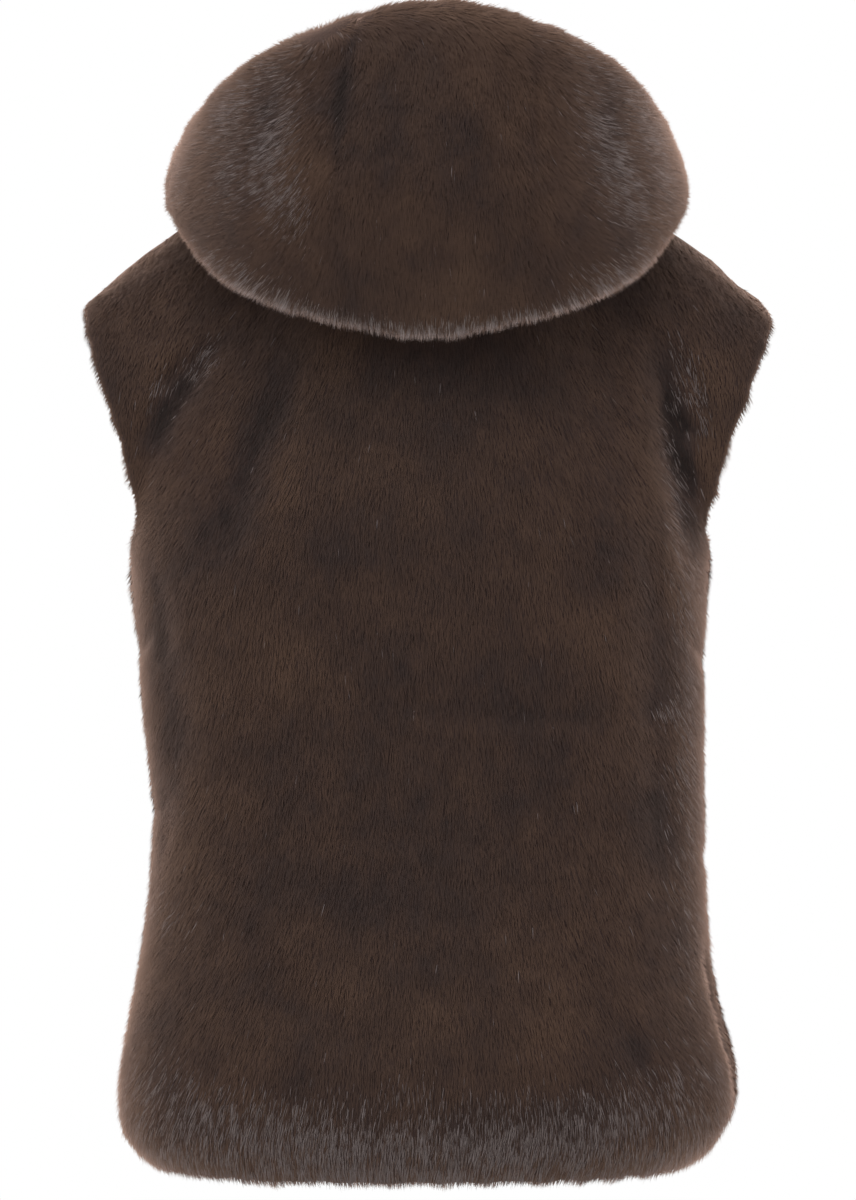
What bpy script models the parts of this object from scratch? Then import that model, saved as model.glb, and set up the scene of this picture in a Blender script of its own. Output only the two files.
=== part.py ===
"""A hooded sleeveless vest cut from dense faux fur, filled out as if worn, its hood lying back.

The wearer looks along +Y, so the back of the vest faces -Y and +X is the wearer's right. Z is up.
The origin is in the middle of the neck at the height of the two neck points, where a wearer holds it up.
Each panel is a wall of backing cloth and pile. Its outer points are the tips of the fur.
Rows of a panel run upwards or away from the neck seam. Columns run from left to right as seen on the
fur side.
"""

import math

import bpy
import numpy as np

# Cloth
WALL = 0.014
SEAM_GAP = 0.0004
RIM_TURNS = (45, 90, 135)

# Body. Half widths go from the middle to the tips of the fur at each side.
RING_SQUARENESS = 2.4
RING_SAMPLES = 181
UNDERARM = -0.290
RING_COLUMNS = ("height", "left", "right", "back", "front")
RINGS = (
    (-0.724, 0.195, 0.187, 0.119, 0.117),
    (-0.714, 0.208, 0.201, 0.127, 0.125),
    (-0.698, 0.218, 0.214, 0.132, 0.130),
    (-0.668, 0.221, 0.224, 0.134, 0.131),
    (-0.625, 0.215, 0.214, 0.130, 0.128),
    (-0.570, 0.205, 0.203, 0.122, 0.120),
    (-0.520, 0.199, 0.200, 0.115, 0.114),
    (-0.460, 0.198, 0.199, 0.111, 0.110),
    (-0.400, 0.204, 0.199, 0.113, 0.113),
    (-0.340, 0.210, 0.200, 0.120, 0.120),
    (UNDERARM, 0.214, 0.205, 0.125, 0.123),
)
RING_HEIGHTS = (
    -0.724, -0.714, -0.698, -0.675, -0.645, -0.610, -0.570, -0.525, -0.475,
    -0.430, -0.397, -0.365, -0.328, UNDERARM,
)  # fmt: skip
UPPER_ROWS = 13
EVEN_ROWS = 0.3
RELAXED_BELOW, RELAX_PASSES = 3, 6
SHOULDER_COLUMNS = 6
NECK_STEP = 10

# Shoulders and armholes, on the edge of the panels. The soft edge adds half a wall.
TIP_LEFT = (-0.243, -0.104)
TIP_RIGHT = (0.245, -0.110)
SHOULDER_CROWN = 0.014
# Each half of an armhole stands this far from the side seam's plane, and curves in this much below.
ARMHOLE_BULGE = 0.066
ARMHOLE_HOLLOW = 0.028
# The armhole shapes a panel from this share of its width to its edge.
ARMHOLE_REACH = 0.45
# How squarely the cloth turns off the shoulder seam. Towards the neck it turns less.
SHOULDER_ROUNDING = 0.5

# Neckline, also the hood's seam
NECK_HALF_WIDTH = 0.085
NECK_BACK, NECK_FRONT = 0.078, 0.094
NECK_HEIGHT, NECK_BACK_DROP, NECK_FRONT_DROP = -0.012, 0.012, 0.082
NECK_TILT_MIDDLE, NECK_TILT_SIDE = 20, 60
FRONT_EDGE = WALL / 2 + 0.0022
FRONT_ANGLE = 180 - math.degrees(math.asin(FRONT_EDGE / NECK_HALF_WIDTH))

# Hood, by the angle round the neck from the middle of the back
GUSSET_LEFT, GUSSET_RIGHT = -18, 21
HAIRPIN_RISE, HAIRPIN_RADIUS = 0.008, 0.006
FOLD_RADIUS, FOLD_OUTER_DROP = 0.022, 20
UNDER_SLACK = 0.002
HOOD_LEAN = 0.007
HOOD_COLUMNS = (
    "angle", "fold_out", "fold_z", "belly_out", "belly_z", "crest_out", "crest_z", "rim_out", "rim_z"
)  # fmt: skip
HOOD_SECTIONS = (
    (0, 0.143, -0.119, 0.196, -0.045, 0.176, 0.086, 0.150, 0.082),
    (45, 0.174, -0.087, 0.199, -0.036, 0.177, 0.053, 0.151, 0.050),
    (70, 0.167, -0.046, 0.194, -0.046, 0.169, 0.027, 0.143, 0.027),
    (90, 0.156, -0.009, 0.180, -0.004, 0.161, 0.021, 0.134, 0.020),
    (135, 0.142, -0.044, 0.163, -0.036, 0.143, -0.004, 0.117, -0.002),
    (180, 0.126, -0.104, 0.146, -0.096, 0.128, -0.064, 0.104, -0.058),
)
HOOD_SPANS = (1, 1, 1, 2, 2, 2, 2, 2, 4, 2)

# Folds of the cloth. The first two places are across and up, in metres, on the face named.
FOLD_COLUMNS = ("face", "start", "middle", "end", "depth", "half_width")
FOLDS = (
    ("back", (-0.146, -0.135), (-0.176, -0.178), (-0.196, -0.214), 0.006, 0.012),
    ("back", (-0.094, -0.150), (-0.120, -0.215), (-0.142, -0.285), 0.005, 0.016),
    ("back", (0.166, -0.140), (0.176, -0.215), (0.192, -0.300), 0.009, 0.013),
    ("back", (0.158, -0.260), (0.160, -0.380), (0.164, -0.540), 0.003, 0.012),
    ("back", (-0.032, -0.394), (0.080, -0.398), (0.184, -0.392), 0.003, 0.010),
    ("back", (-0.120, -0.560), (-0.080, -0.600), (-0.020, -0.620), 0.002, 0.018),
    ("back", (-0.190, -0.330), (-0.178, -0.400), (-0.184, -0.470), 0.003, 0.014),
    ("right", (-0.030, -0.560), (-0.024, -0.625), (-0.020, -0.700), 0.008, 0.013),
    ("left", (0.024, -0.590), (0.020, -0.640), (0.018, -0.700), 0.005, 0.014),
    ("front", (-0.150, -0.150), (-0.176, -0.200), (-0.190, -0.260), 0.006, 0.013),
    ("front", (0.140, -0.150), (0.162, -0.210), (0.186, -0.280), 0.007, 0.013),
    ("front", (-0.070, -0.180), (-0.110, -0.290), (-0.130, -0.400), 0.004, 0.018),
    ("front", (0.080, -0.330), (0.120, -0.395), (0.170, -0.410), 0.003, 0.012),
    ("front", (0.060, -0.520), (0.075, -0.600), (0.070, -0.690), 0.004, 0.020),
    ("front", (-0.110, -0.500), (-0.100, -0.590), (-0.115, -0.690), 0.003, 0.018),
)
FACES = {
    "back": (0, lambda point: point[..., 1] < 0),
    "front": (0, lambda point: point[..., 1] > 0),
    "left": (1, lambda point: point[..., 0] < 0),
    "right": (1, lambda point: point[..., 0] > 0),
}
PATH_POINTS = 25

# What each run of edges is. Soft edges are rounded fur, and the rest are seams.
SOFT_EDGES = ("hem", "armhole", "front", "rim")
MIDDLE_SEAMS = ("side", "shoulder")

FUR_COLOUR = (0.034, 0.021, 0.017, 1)
FUR_ROUGHNESS = 0.9


def unit(vectors):
    return vectors / np.linalg.norm(vectors, axis=-1, keepdims=True)


def through(places, values, at):
    """A smooth curve through values at places, read at each number in at."""
    places = np.asarray(places, float)
    values = np.asarray(values, float)
    at = np.asarray(at, float)
    slopes = np.gradient(values, places)
    i = np.clip(np.searchsorted(places, at) - 1, 0, len(places) - 2)
    span = places[i + 1] - places[i]
    f = (at - places[i]) / span
    start = values[i] * (2 * f**3 - 3 * f**2 + 1) + slopes[i] * span * (f**3 - 2 * f**2 + f)
    end = values[i + 1] * (3 * f**2 - 2 * f**3) + slopes[i + 1] * span * (f**3 - f**2)
    return start + end


def column_of(table, columns, name, by, at):
    """One column of a table, read smoothly at places along another of its columns."""
    rows = np.array(table, float)
    return through(rows[:, columns.index(by)], rows[:, columns.index(name)], at)


def evenly_along(points, count):
    """count + 1 points at equal distances along a line of many."""
    along = np.concatenate(([0], np.cumsum(np.linalg.norm(np.diff(points, axis=0), axis=1))))
    wanted = np.linspace(0, along[-1], count + 1)
    return np.stack([np.interp(wanted, along, points[:, axis]) for axis in range(3)], axis=1)


def neck_angles(start, end):
    """Angles round the neck in steps, with the two gusset seams among them."""
    angles = np.arange(start, end + 1, NECK_STEP, dtype=float)
    angles[angles == -2 * NECK_STEP] = GUSSET_LEFT
    angles[angles == 2 * NECK_STEP] = GUSSET_RIGHT
    return angles


def neckline(angles):
    """Points of the neckline at angles in degrees, 0 at the middle back and positive to the right."""
    turn = np.radians(angles)
    to_back = np.cos(turn) >= 0
    depth = np.where(to_back, NECK_BACK, NECK_FRONT)
    drop = np.where(to_back, NECK_BACK_DROP, NECK_FRONT_DROP)
    return np.stack(
        [
            NECK_HALF_WIDTH * np.sin(turn),
            -depth * np.cos(turn),
            NECK_HEIGHT - drop * np.cos(turn) ** 2,
        ],
        axis=-1,
    )


def outward(angles):
    """Level directions away from the neck at angles in degrees."""
    turn = np.radians(angles)
    return np.stack([np.sin(turn), -np.cos(turn), np.zeros_like(turn)], axis=-1)


def neck_normals(angles):
    """Directions out of the fur at the neck seam: nearly level at back and front, steep at the sides."""
    tilt = NECK_TILT_MIDDLE + (NECK_TILT_SIDE - NECK_TILT_MIDDLE) * np.sin(np.radians(angles)) ** 2
    tilt = np.radians(tilt)[..., None]
    return outward(angles) * np.cos(tilt) + np.array([0, 0, 1]) * np.sin(tilt)


def half_ring(height, facing, count):
    """Half a ring round the body, side seam to side seam from left to right as seen on the fur side.

    facing is -1 for the back and 1 for the front.
    """
    left, right, back, front = (
        float(column_of(RINGS, RING_COLUMNS, name, "height", height)) for name in RING_COLUMNS[1:]
    )
    turn = np.radians(np.linspace(-90, 90, RING_SAMPLES))
    power = 2 / RING_SQUARENESS
    across = np.sign(np.sin(turn)) * np.abs(np.sin(turn)) ** power * -facing
    away = np.maximum(np.cos(turn), 0) ** power
    depth = back if facing < 0 else front
    middle = (right - left) / 2
    half = (right + left) / 2
    line = np.stack(
        [middle + half * across, facing * depth * away, np.full_like(turn, height)], axis=1
    )
    return evenly_along(line, count)


def shoulder_line(tip, count):
    """Points of the shoulder seam from the tip to the neck point, a little crowned."""
    neck = np.array([math.copysign(NECK_HALF_WIDTH, tip[0]), 0, NECK_HEIGHT])
    end = np.array([tip[0], 0, tip[1]])
    share = np.linspace(0, 1, count + 1)[:, None]
    crown = SHOULDER_CROWN * np.sin(np.pi * share) * np.array([0, 0, 1])
    return end + (neck - end) * share + crown


def top_edge(facing):
    """The shoulder seams and the neckline between them, with the angle of each neck point."""
    if facing < 0:
        angles = neck_angles(-90, 90)
        first, last = TIP_LEFT, TIP_RIGHT
    else:
        angles = np.arange(90, 271, NECK_STEP, dtype=float)
        first, last = TIP_RIGHT, TIP_LEFT
    points = np.concatenate(
        [
            shoulder_line(first, SHOULDER_COLUMNS)[:-1],
            neckline(angles),
            shoulder_line(last, SHOULDER_COLUMNS)[::-1][1:],
        ]
    )
    return points, angles


def body_face(facing):
    """Outer points and normals of the whole back, or of both fronts, by row and column."""
    top, angles = top_edge(facing)
    count = len(top) - 1
    lower = [half_ring(height, facing, count) for height in RING_HEIGHTS]
    under = lower[-1]
    share = np.linspace(-1, 1, count + 1)
    to_neck = np.clip(np.abs(share) / (1 - 2 * SHOULDER_COLUMNS / count), 0, 1)
    rounding = 1 - SHOULDER_ROUNDING * to_neck**2
    near_edge = np.clip((np.abs(share) - ARMHOLE_REACH) / (1 - ARMHOLE_REACH), 0, 1) ** 2
    upper = []
    for k in range(1, UPPER_ROWS + 1):
        even = 1 - k / UPPER_ROWS
        down = EVEN_ROWS * even + (1 - EVEN_ROWS) * (1 - math.cos(math.pi * even)) / 2
        row = top + (under - top) * down
        bulge = math.sqrt(max(4 * down * (1 - down), 0))
        profile = (2 * down - down**2) ** rounding
        row[:, 1] = top[:, 1] + (under[:, 1] - top[:, 1]) * profile
        row[:, 1] += facing * ARMHOLE_BULGE * bulge * near_edge
        row[:, 0] -= np.sign(row[:, 0]) * ARMHOLE_HOLLOW * bulge**2 * near_edge * down
        upper.append(row)
    points = relax(np.array(lower + upper), len(RING_HEIGHTS) - RELAXED_BELOW)
    normals = normals_of(points)
    normals = settle_normals(normals, angles, len(RING_HEIGHTS) - 1)
    return fold(points, normals), normals


def relax(points, first):
    """Evens out the rows from first up, all but their borders, as cloth does between its seams."""
    points = points.copy()
    for _ in range(RELAX_PASSES):
        inside = points[first:-1, 1:-1]
        beside = points[first:-1, :-2] + points[first:-1, 2:]
        above = points[first - 1 : -2, 1:-1] + points[first + 1 :, 1:-1]
        points[first:-1, 1:-1] = inside / 2 + (beside + above) / 8
    return points


def directions(points, axis):
    """The way along one axis of a grid at each point: the mean direction of the two edges there."""
    steps = unit(np.diff(points, axis=axis))
    first, last = np.take(steps, [0], axis), np.take(steps, [-1], axis)
    return np.concatenate([first, steps], axis) + np.concatenate([steps, last], axis)


def normals_of(points):
    return unit(np.cross(directions(points, 1), directions(points, 0)))


def settle_normals(normals, angles, underarm_row):
    """Lays the normals at the side and shoulder seams in the seams' plane and sets those at the neck."""
    normals = normals.copy()
    for column in (0, -1):
        normals[: underarm_row + 1, column, 1] = 0
    shoulders = list(range(SHOULDER_COLUMNS + 1))
    for column in shoulders + [-1 - column for column in shoulders]:
        normals[-1, column, 1] = 0
        normals[-1, column, 2] = abs(normals[-1, column, 2])
    inner = slice(SHOULDER_COLUMNS, SHOULDER_COLUMNS + len(angles))
    normals[-1, inner] = neck_normals(angles)
    return unit(normals)


def bend(start, middle, end):
    """Points of a smooth line through three places."""
    share = np.linspace(0, 1, PATH_POINTS)[:, None]
    start, middle, end = (np.array(place) for place in (start, middle, end))
    control = 2 * middle - (start + end) / 2
    return start * (1 - share) ** 2 + 2 * control * share * (1 - share) + end * share**2


def fold(points, normals):
    """Sinks the folds into the fur as soft troughs that fade out at both ends."""
    sunk = np.zeros(points.shape[:2])
    for face, start, middle, end, depth, half_width in FOLDS:
        axis, on_face = FACES[face]
        path = bend(start, middle, end)
        places = points[..., (axis, 2)][..., None, :]
        away = np.linalg.norm(places - path, axis=-1)
        nearest = away.argmin(axis=-1)
        fade = np.sin(np.pi * (nearest + 0.5) / PATH_POINTS) ** 0.5
        trough = depth * fade * np.exp(-((away.min(axis=-1) / half_width) ** 2))
        sunk += np.where(on_face(points), trough, 0)
    return points - normals * sunk[..., None]


def round_the_neck():
    """The hood's sections with a mirrored one past each end, so that it runs level across the middle."""
    before = (-HOOD_SECTIONS[1][0], *HOOD_SECTIONS[1][1:])
    after = (360 - HOOD_SECTIONS[-2][0], *HOOD_SECTIONS[-2][1:])
    return (before, *HOOD_SECTIONS, after)


def hood_section(angle):
    """Outer points of the hood at one angle round the neck, from the neck seam to the face edge."""
    value = {
        name: float(column_of(round_the_neck(), HOOD_COLUMNS, name, "angle", abs(angle)))
        for name in HOOD_COLUMNS[1:]
    }
    out = outward(angle)
    up = np.array([0.0, 0.0, 1.0])
    seam = neckline(angle)
    normal = neck_normals(angle)
    along = unit(up - normal * normal[2])
    hairpin = seam + along * HAIRPIN_RISE
    centre = out * value["fold_out"] + up * value["fold_z"]
    inner_fold = centre - out * FOLD_RADIUS
    drop = math.radians(FOLD_OUTER_DROP)
    turned = hairpin + normal * 2 * HAIRPIN_RADIUS
    marks = [
        seam,
        hairpin,
        hairpin + normal * HAIRPIN_RADIUS + along * HAIRPIN_RADIUS,
        turned,
        (turned + inner_fold) / 2 + normal * UNDER_SLACK,
        inner_fold,
        centre - up * FOLD_RADIUS,
        centre + (out * math.cos(drop) - up * math.sin(drop)) * FOLD_RADIUS,
        out * value["belly_out"] + up * value["belly_z"],
        out * value["crest_out"] + up * value["crest_z"],
        out * value["rim_out"] + up * value["rim_z"],
    ]
    line = spline(np.array(marks), HOOD_SPANS)
    low, high = neckline(0)[2], HOOD_SECTIONS[0][HOOD_COLUMNS.index("crest_z")]
    risen = np.clip((line[:, 2] - low) / (high - low), 0, 1)
    line[:, 0] += HOOD_LEAN * risen * max(-out[1], 0)
    return line


def spline(marks, spans):
    """A smooth line through marks, with the number of steps given for each stretch."""
    chords = np.linalg.norm(np.diff(marks, axis=0), axis=1)
    knots = np.concatenate([[0], np.cumsum(np.sqrt(chords))])
    stretches = [
        np.linspace(start, end, steps + 1)[1:] for start, end, steps in zip(knots, knots[1:], spans)
    ]
    at = np.concatenate([[0]] + stretches)
    return np.stack([through(knots, marks[:, axis], at) for axis in range(3)], axis=1)


def hood_face():
    """Outer points and normals of the whole hood by row and column, with the angle of each column."""
    angles = np.concatenate([[-FRONT_ANGLE], neck_angles(-170, 170), [FRONT_ANGLE]])
    points = np.stack([hood_section(angle) for angle in angles], axis=1)
    normals = normals_of(points)
    normals[0] = neck_normals(angles)
    return points, normals, angles


def border(rows, columns):
    """Row and column of each border point, anticlockwise as seen on the fur side."""
    bottom = [(0, c) for c in range(columns - 1)]
    right = [(r, columns - 1) for r in range(rows - 1)]
    top = [(rows - 1, c) for c in range(columns - 1, 0, -1)]
    left = [(r, 0) for r in range(rows - 1, 0, -1)]
    return bottom + right + top + left


def edge_names(rows, columns, bottom, right, top, left):
    """The name of each border edge. right, top and left are functions of its lower row or column."""
    names = [bottom] * (columns - 1)
    names += [right(r) for r in range(rows - 1)]
    names += [top(c) for c in range(columns - 2, -1, -1)]
    names += [left(r) for r in range(rows - 2, -1, -1)]
    return names


def edge_directions(points, normals, names):
    """For each border point, the way out of the panel at its soft edge and the shift at its seams."""
    count = len(points)
    soft = np.zeros((count, 3))
    shift = np.zeros((count, 3))
    for k in range(count):
        before, after = names[k - 1], names[k]
        seams = []
        for name in dict.fromkeys((before, after)):
            start = points[k - 1] if before == name else points[k]
            end = points[(k + 1) % count] if after == name else points[k]
            out = np.cross(end - start, normals[k])
            if name in MIDDLE_SEAMS:
                out = np.array([0, out[1], 0])
            out = unit(out)
            if name in SOFT_EDGES:
                soft[k] += out
            else:
                seams.append(out)
        for out in seams:
            shift[k] -= out * SEAM_GAP / 2
            soft[k] -= out * (soft[k] @ out)
    return soft, shift


def seam_faces(near, far, near_is_first):
    """The flat of a seam between two border points, split the same way on both panels that meet."""
    if near_is_first:
        faces = [[far[0], near[0], far[-1]], [near[0], near[-1], far[-1]]]
    else:
        faces = [[far[0], near[0], near[-1]], [far[0], near[-1], far[-1]]]
    if len(near) > 2:
        faces.append(near)
    if len(far) > 2:
        faces.append(far[::-1])
    return faces


def wall(name, outer, normals, names, material):
    """One panel as a closed wall, with rounded soft edges and flat seams."""
    rows, columns = outer.shape[:2]
    outer = outer.copy()
    ring = border(rows, columns)
    line = np.array([outer[place] for place in ring])
    line_normals = np.array([normals[place] for place in ring])
    soft, shift = edge_directions(line, line_normals, names)
    for place, move in zip(ring, shift):
        outer[place] += move
    inner = outer - normals * WALL
    points = list(outer.reshape(-1, 3)) + list(inner.reshape(-1, 3))
    size = rows * columns

    chains = []
    for place, out in zip(ring, soft):
        first = place[0] * columns + place[1]
        chain = [first]
        if out.any():
            middle = (outer[place] + inner[place]) / 2
            out = out / np.linalg.norm(out)
            for turn in np.radians(RIM_TURNS):
                chain.append(len(points))
                radius = WALL / 2
                points.append(middle + (normals[place] * np.cos(turn) + out * np.sin(turn)) * radius)
        chain.append(first + size)
        chains.append(chain)

    faces = []
    for r in range(rows - 1):
        for c in range(columns - 1):
            a = r * columns + c
            quad = [a, a + 1, a + 1 + columns, a + columns]
            faces.append(quad)
            faces.append([corner + size for corner in reversed(quad)])
    for k, edge in enumerate(names):
        near, far = chains[k], chains[(k + 1) % len(chains)]
        if edge in SOFT_EDGES:
            for n in range(len(near) - 1):
                faces.append([far[n], near[n], near[n + 1], far[n + 1]])
        else:
            faces += seam_faces(near, far, ring[k] < ring[(k + 1) % len(ring)])

    mesh = bpy.data.meshes.new(name)
    mesh.from_pydata([tuple(point) for point in points], [], faces)
    mesh.shade_smooth()
    mesh.materials.append(material)
    panel = bpy.data.objects.new(name, mesh)
    bpy.context.scene.collection.objects.link(panel)
    return panel


def fur_material():
    material = bpy.data.materials.new("brown_faux_fur")
    material.use_nodes = True
    shader = material.node_tree.nodes["Principled BSDF"]
    shader.inputs["Base Color"].default_value = FUR_COLOUR
    shader.inputs["Roughness"].default_value = FUR_ROUGHNESS
    shader.inputs["Metallic"].default_value = 0
    return material


def side_edge(row):
    """A body panel's edge at its side: the side seam below the underarm and the armhole above it."""
    return "side" if row < len(RING_HEIGHTS) - 1 else "armhole"


def make_back(material):
    points, normals = body_face(-1)
    rows, columns = points.shape[:2]

    def top(column):
        on_shoulder = column < SHOULDER_COLUMNS or column >= columns - 1 - SHOULDER_COLUMNS
        return "shoulder" if on_shoulder else "neck"

    names = edge_names(rows, columns, "hem", side_edge, top, side_edge)
    return wall("back", points, normals, names, material)


def make_fronts(material):
    """The two fronts, cut from one face at the centre front and set back there by their soft edges."""
    points, normals = body_face(1)
    rows, columns = points.shape[:2]
    middle = columns // 2
    fronts = []
    for name in ("front_right", "front_left"):
        first = name == "front_right"
        part = slice(0, middle + 1) if first else slice(middle, columns)
        outer, facing = points[:, part].copy(), normals[:, part].copy()
        edge, beside = (-1, -2) if first else (0, 1)
        outer[:, edge] += unit(outer[:, beside] - outer[:, edge]) * FRONT_EDGE
        corner = FRONT_ANGLE if first else -FRONT_ANGLE
        outer[-1, edge] = neckline(corner)
        facing[-1, edge] = neck_normals(np.array([corner]))[0]
        last = outer.shape[1] - 2

        def top(column, first=first, last=last):
            from_side = column if first else last - column
            return "shoulder" if from_side < SHOULDER_COLUMNS else "neck"

        def front(row):
            return "front"

        right, left = (front, side_edge) if first else (side_edge, front)
        names = edge_names(rows, outer.shape[1], "hem", right, top, left)
        fronts.append(wall(name, outer, facing, names, material))
    return fronts


def make_hood(material):
    """The hood's centre gusset and its two side panels, cut from one face at the gusset seams."""
    points, normals, angles = hood_face()
    left = int(np.flatnonzero(angles == GUSSET_LEFT)[0])
    right = int(np.flatnonzero(angles == GUSSET_RIGHT)[0])
    cuts = {
        "hood_left": (0, left, "gusset", "front"),
        "hood_centre": (left, right, "gusset", "gusset"),
        "hood_right": (right, len(angles) - 1, "front", "gusset"),
    }
    panels = []
    for name, (start, end, right_edge, left_edge) in cuts.items():
        part = slice(start, end + 1)
        outer = points[:, part]
        names = edge_names(
            *outer.shape[:2],
            "neck",
            lambda row, edge=right_edge: edge,
            lambda column: "rim",
            lambda row, edge=left_edge: edge,
        )
        panels.append(wall(name, outer, normals[:, part], names, material))
    return panels


def main():
    for thing in list(bpy.data.objects):
        bpy.data.objects.remove(thing, do_unlink=True)
    material = fur_material()
    make_back(material)
    make_fronts(material)
    make_hood(material)


main()
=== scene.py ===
"""The looks of a hooded faux fur vest, filled out with no wearer.

Each of the six panels is made in three layers on the form of its solid: a thin knit backing, a dense
undercoat and guard hair that lies along the nap. The wearer looks along +Y, the back faces -Y, +X is the
wearer's right and Z is up. The origin is in the middle of the neck. Everything is in metres.
"""

from __future__ import annotations

import logging
import math
from collections.abc import Iterator, Sequence
from dataclasses import dataclass, replace
from enum import Enum

import bpy
import numpy as np
from numpy.typing import ArrayLike, NDArray
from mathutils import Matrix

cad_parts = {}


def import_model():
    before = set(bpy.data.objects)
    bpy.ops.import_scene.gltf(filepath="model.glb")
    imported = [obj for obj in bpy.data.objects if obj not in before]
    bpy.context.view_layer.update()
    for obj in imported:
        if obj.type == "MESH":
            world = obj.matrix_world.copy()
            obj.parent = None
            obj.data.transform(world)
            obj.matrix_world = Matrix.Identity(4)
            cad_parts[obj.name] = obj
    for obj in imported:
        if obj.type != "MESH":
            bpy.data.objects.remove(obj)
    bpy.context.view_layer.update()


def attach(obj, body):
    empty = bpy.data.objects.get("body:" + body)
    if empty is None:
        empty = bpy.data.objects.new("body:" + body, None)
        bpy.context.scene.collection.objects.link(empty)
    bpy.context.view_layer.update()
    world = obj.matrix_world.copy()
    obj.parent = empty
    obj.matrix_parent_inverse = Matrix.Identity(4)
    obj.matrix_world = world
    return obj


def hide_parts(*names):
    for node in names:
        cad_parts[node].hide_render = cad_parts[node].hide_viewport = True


Floats = NDArray[np.float64]
Wholes = NDArray[np.int_]
Place = tuple[float, float]
Span = tuple[float, float]
Point = tuple[float, float, float]
Colour = tuple[float, float, float]
Socket = bpy.types.NodeSocket

UP = np.array([0.0, 0.0, 1.0])
# The two UV maps: places on the flat cloth in metres, and the shade and the way up each hair.
CLOTH_MAP = "cloth"
STRAND_MAP = "OFBake"
# What each point of the undercoat holds for the hair that grows there.
PILE_KINDS = {
    "pile_normal": "FLOAT_VECTOR",
    "nap": "FLOAT_VECTOR",
    "blade_normal": "FLOAT_VECTOR",
    "cover": "FLOAT",
    "reach": "FLOAT",
    "gleam": "FLOAT",
    "shadow": "FLOAT",
    "lift": "FLOAT",
}

log = logging.getLogger("fur_vest")


class Edge(Enum):
    """What a run of a panel's border is."""

    HEM = "hem"
    ARMHOLE = "armhole"
    FRONT = "front"
    RIM = "rim"
    SIDE = "side"
    SHOULDER = "shoulder"
    NECK = "neck"
    GUSSET = "gusset"

    @property
    def soft(self) -> bool:
        """Whether the fur rolls round the edge. The other edges are seams."""
        return self in (Edge.HEM, Edge.ARMHOLE, Edge.FRONT, Edge.RIM)

    @property
    def middle(self) -> bool:
        """Whether the seam lies in the plane between back and front."""
        return self in (Edge.SIDE, Edge.SHOULDER)


class Face(Enum):
    """A side of the vest, for placing folds and streaks of painted sheen on it."""

    BACK = "back"
    FRONT = "front"
    LEFT = "left"
    RIGHT = "right"

    @property
    def across(self) -> int:
        """The axis that runs across this side."""
        return 0 if self in (Face.BACK, Face.FRONT) else 1

    def holds(self, points: Floats) -> NDArray[np.bool_]:
        """Which points are on this side.

        Args:
            points: Points in metres.

        Returns:
            True for each point on this side.
        """
        if self is Face.BACK:
            return points[..., 1] < 0
        if self is Face.FRONT:
            return points[..., 1] > 0
        if self is Face.LEFT:
            return points[..., 0] < 0
        return points[..., 0] > 0


def unit(vectors: Floats) -> Floats:
    """The vectors at length one."""
    return vectors / np.maximum(np.linalg.norm(vectors, axis=-1, keepdims=True), 1e-12)


def between(values: Floats, slopes: Floats, i: Wholes, f: Floats, span: ArrayLike = 1.0) -> Floats:
    """A smooth curve from value i to value i + 1.

    Args:
        values: The numbers that the curve passes through, along the first axis.
        slopes: How steep it is at each of them.
        i: Which stretch is read at each place.
        f: How far along that stretch the place is, from 0 to 1.
        span: How long the stretch is, in the unit of the slopes.

    Returns:
        The curve's number at each place.
    """
    start = values[i] * (2 * f**3 - 3 * f**2 + 1) + slopes[i] * span * (f**3 - 2 * f**2 + f)
    end = values[i + 1] * (3 * f**2 - 2 * f**3) + slopes[i + 1] * span * (f**3 - f**2)
    return start + end


def through(places: ArrayLike, values: ArrayLike, at: ArrayLike) -> Floats:
    """A smooth curve through values at places.

    Args:
        places: Where the values are, in rising order.
        values: The numbers to pass through.
        at: Where the curve is read.

    Returns:
        The curve's number at each place of at.
    """
    places = np.asarray(places, float)
    values = np.asarray(values, float)
    at = np.asarray(at, float)
    i = np.clip(np.searchsorted(places, at) - 1, 0, len(places) - 2)
    span = places[i + 1] - places[i]
    return between(values, np.gradient(values, places), i, (at - places[i]) / span, span)


def through_grid(values: Floats, places: Floats, axis: int) -> Floats:
    """A smooth curve along one axis of a grid, read at places counted in grid lines.

    Args:
        values: The grid.
        places: Where it is read, counted in grid lines.
        axis: The axis that the curve follows.

    Returns:
        The grid with its values at the places.
    """
    values = np.moveaxis(values, axis, 0)
    i = np.clip(places.astype(int), 0, len(values) - 2)
    f = (places - i).reshape((-1,) + (1,) * (values.ndim - 1))
    return np.moveaxis(between(values, np.gradient(values, axis=0), i, f), 0, axis)


def evenly_along(points: Floats, count: int) -> Floats:
    """count + 1 points at equal distances along a line of many.

    Args:
        points: The line's points.
        count: The number of equal steps.

    Returns:
        The new points, with both ends.
    """
    along = np.concatenate(([0], np.cumsum(np.linalg.norm(np.diff(points, axis=0), axis=1))))
    wanted = np.linspace(0, along[-1], count + 1)
    return np.stack([np.interp(wanted, along, points[:, axis]) for axis in range(3)], axis=1)


def directions(points: Floats, axis: int) -> Floats:
    """The way along one axis of a grid at each point, as the sum of the two steps that meet there.

    Args:
        points: A grid of points.
        axis: 0 for up, 1 for across.

    Returns:
        A vector for each point, of up to length two.
    """
    steps = unit(np.diff(points, axis=axis))
    first, last = np.take(steps, [0], axis), np.take(steps, [-1], axis)
    return np.concatenate([first, steps], axis) + np.concatenate([steps, last], axis)


def normals_of(points: Floats) -> Floats:
    """The way out of the fur at each point of a grid."""
    return unit(np.cross(directions(points, 1), directions(points, 0)))


def smooth_step(values: ArrayLike, low: float, high: float) -> Floats:
    """0 below low, 1 above high and a soft step between them."""
    f = np.clip((np.asarray(values, float) - low) / (high - low), 0, 1)
    return f * f * (3 - 2 * f)


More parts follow.
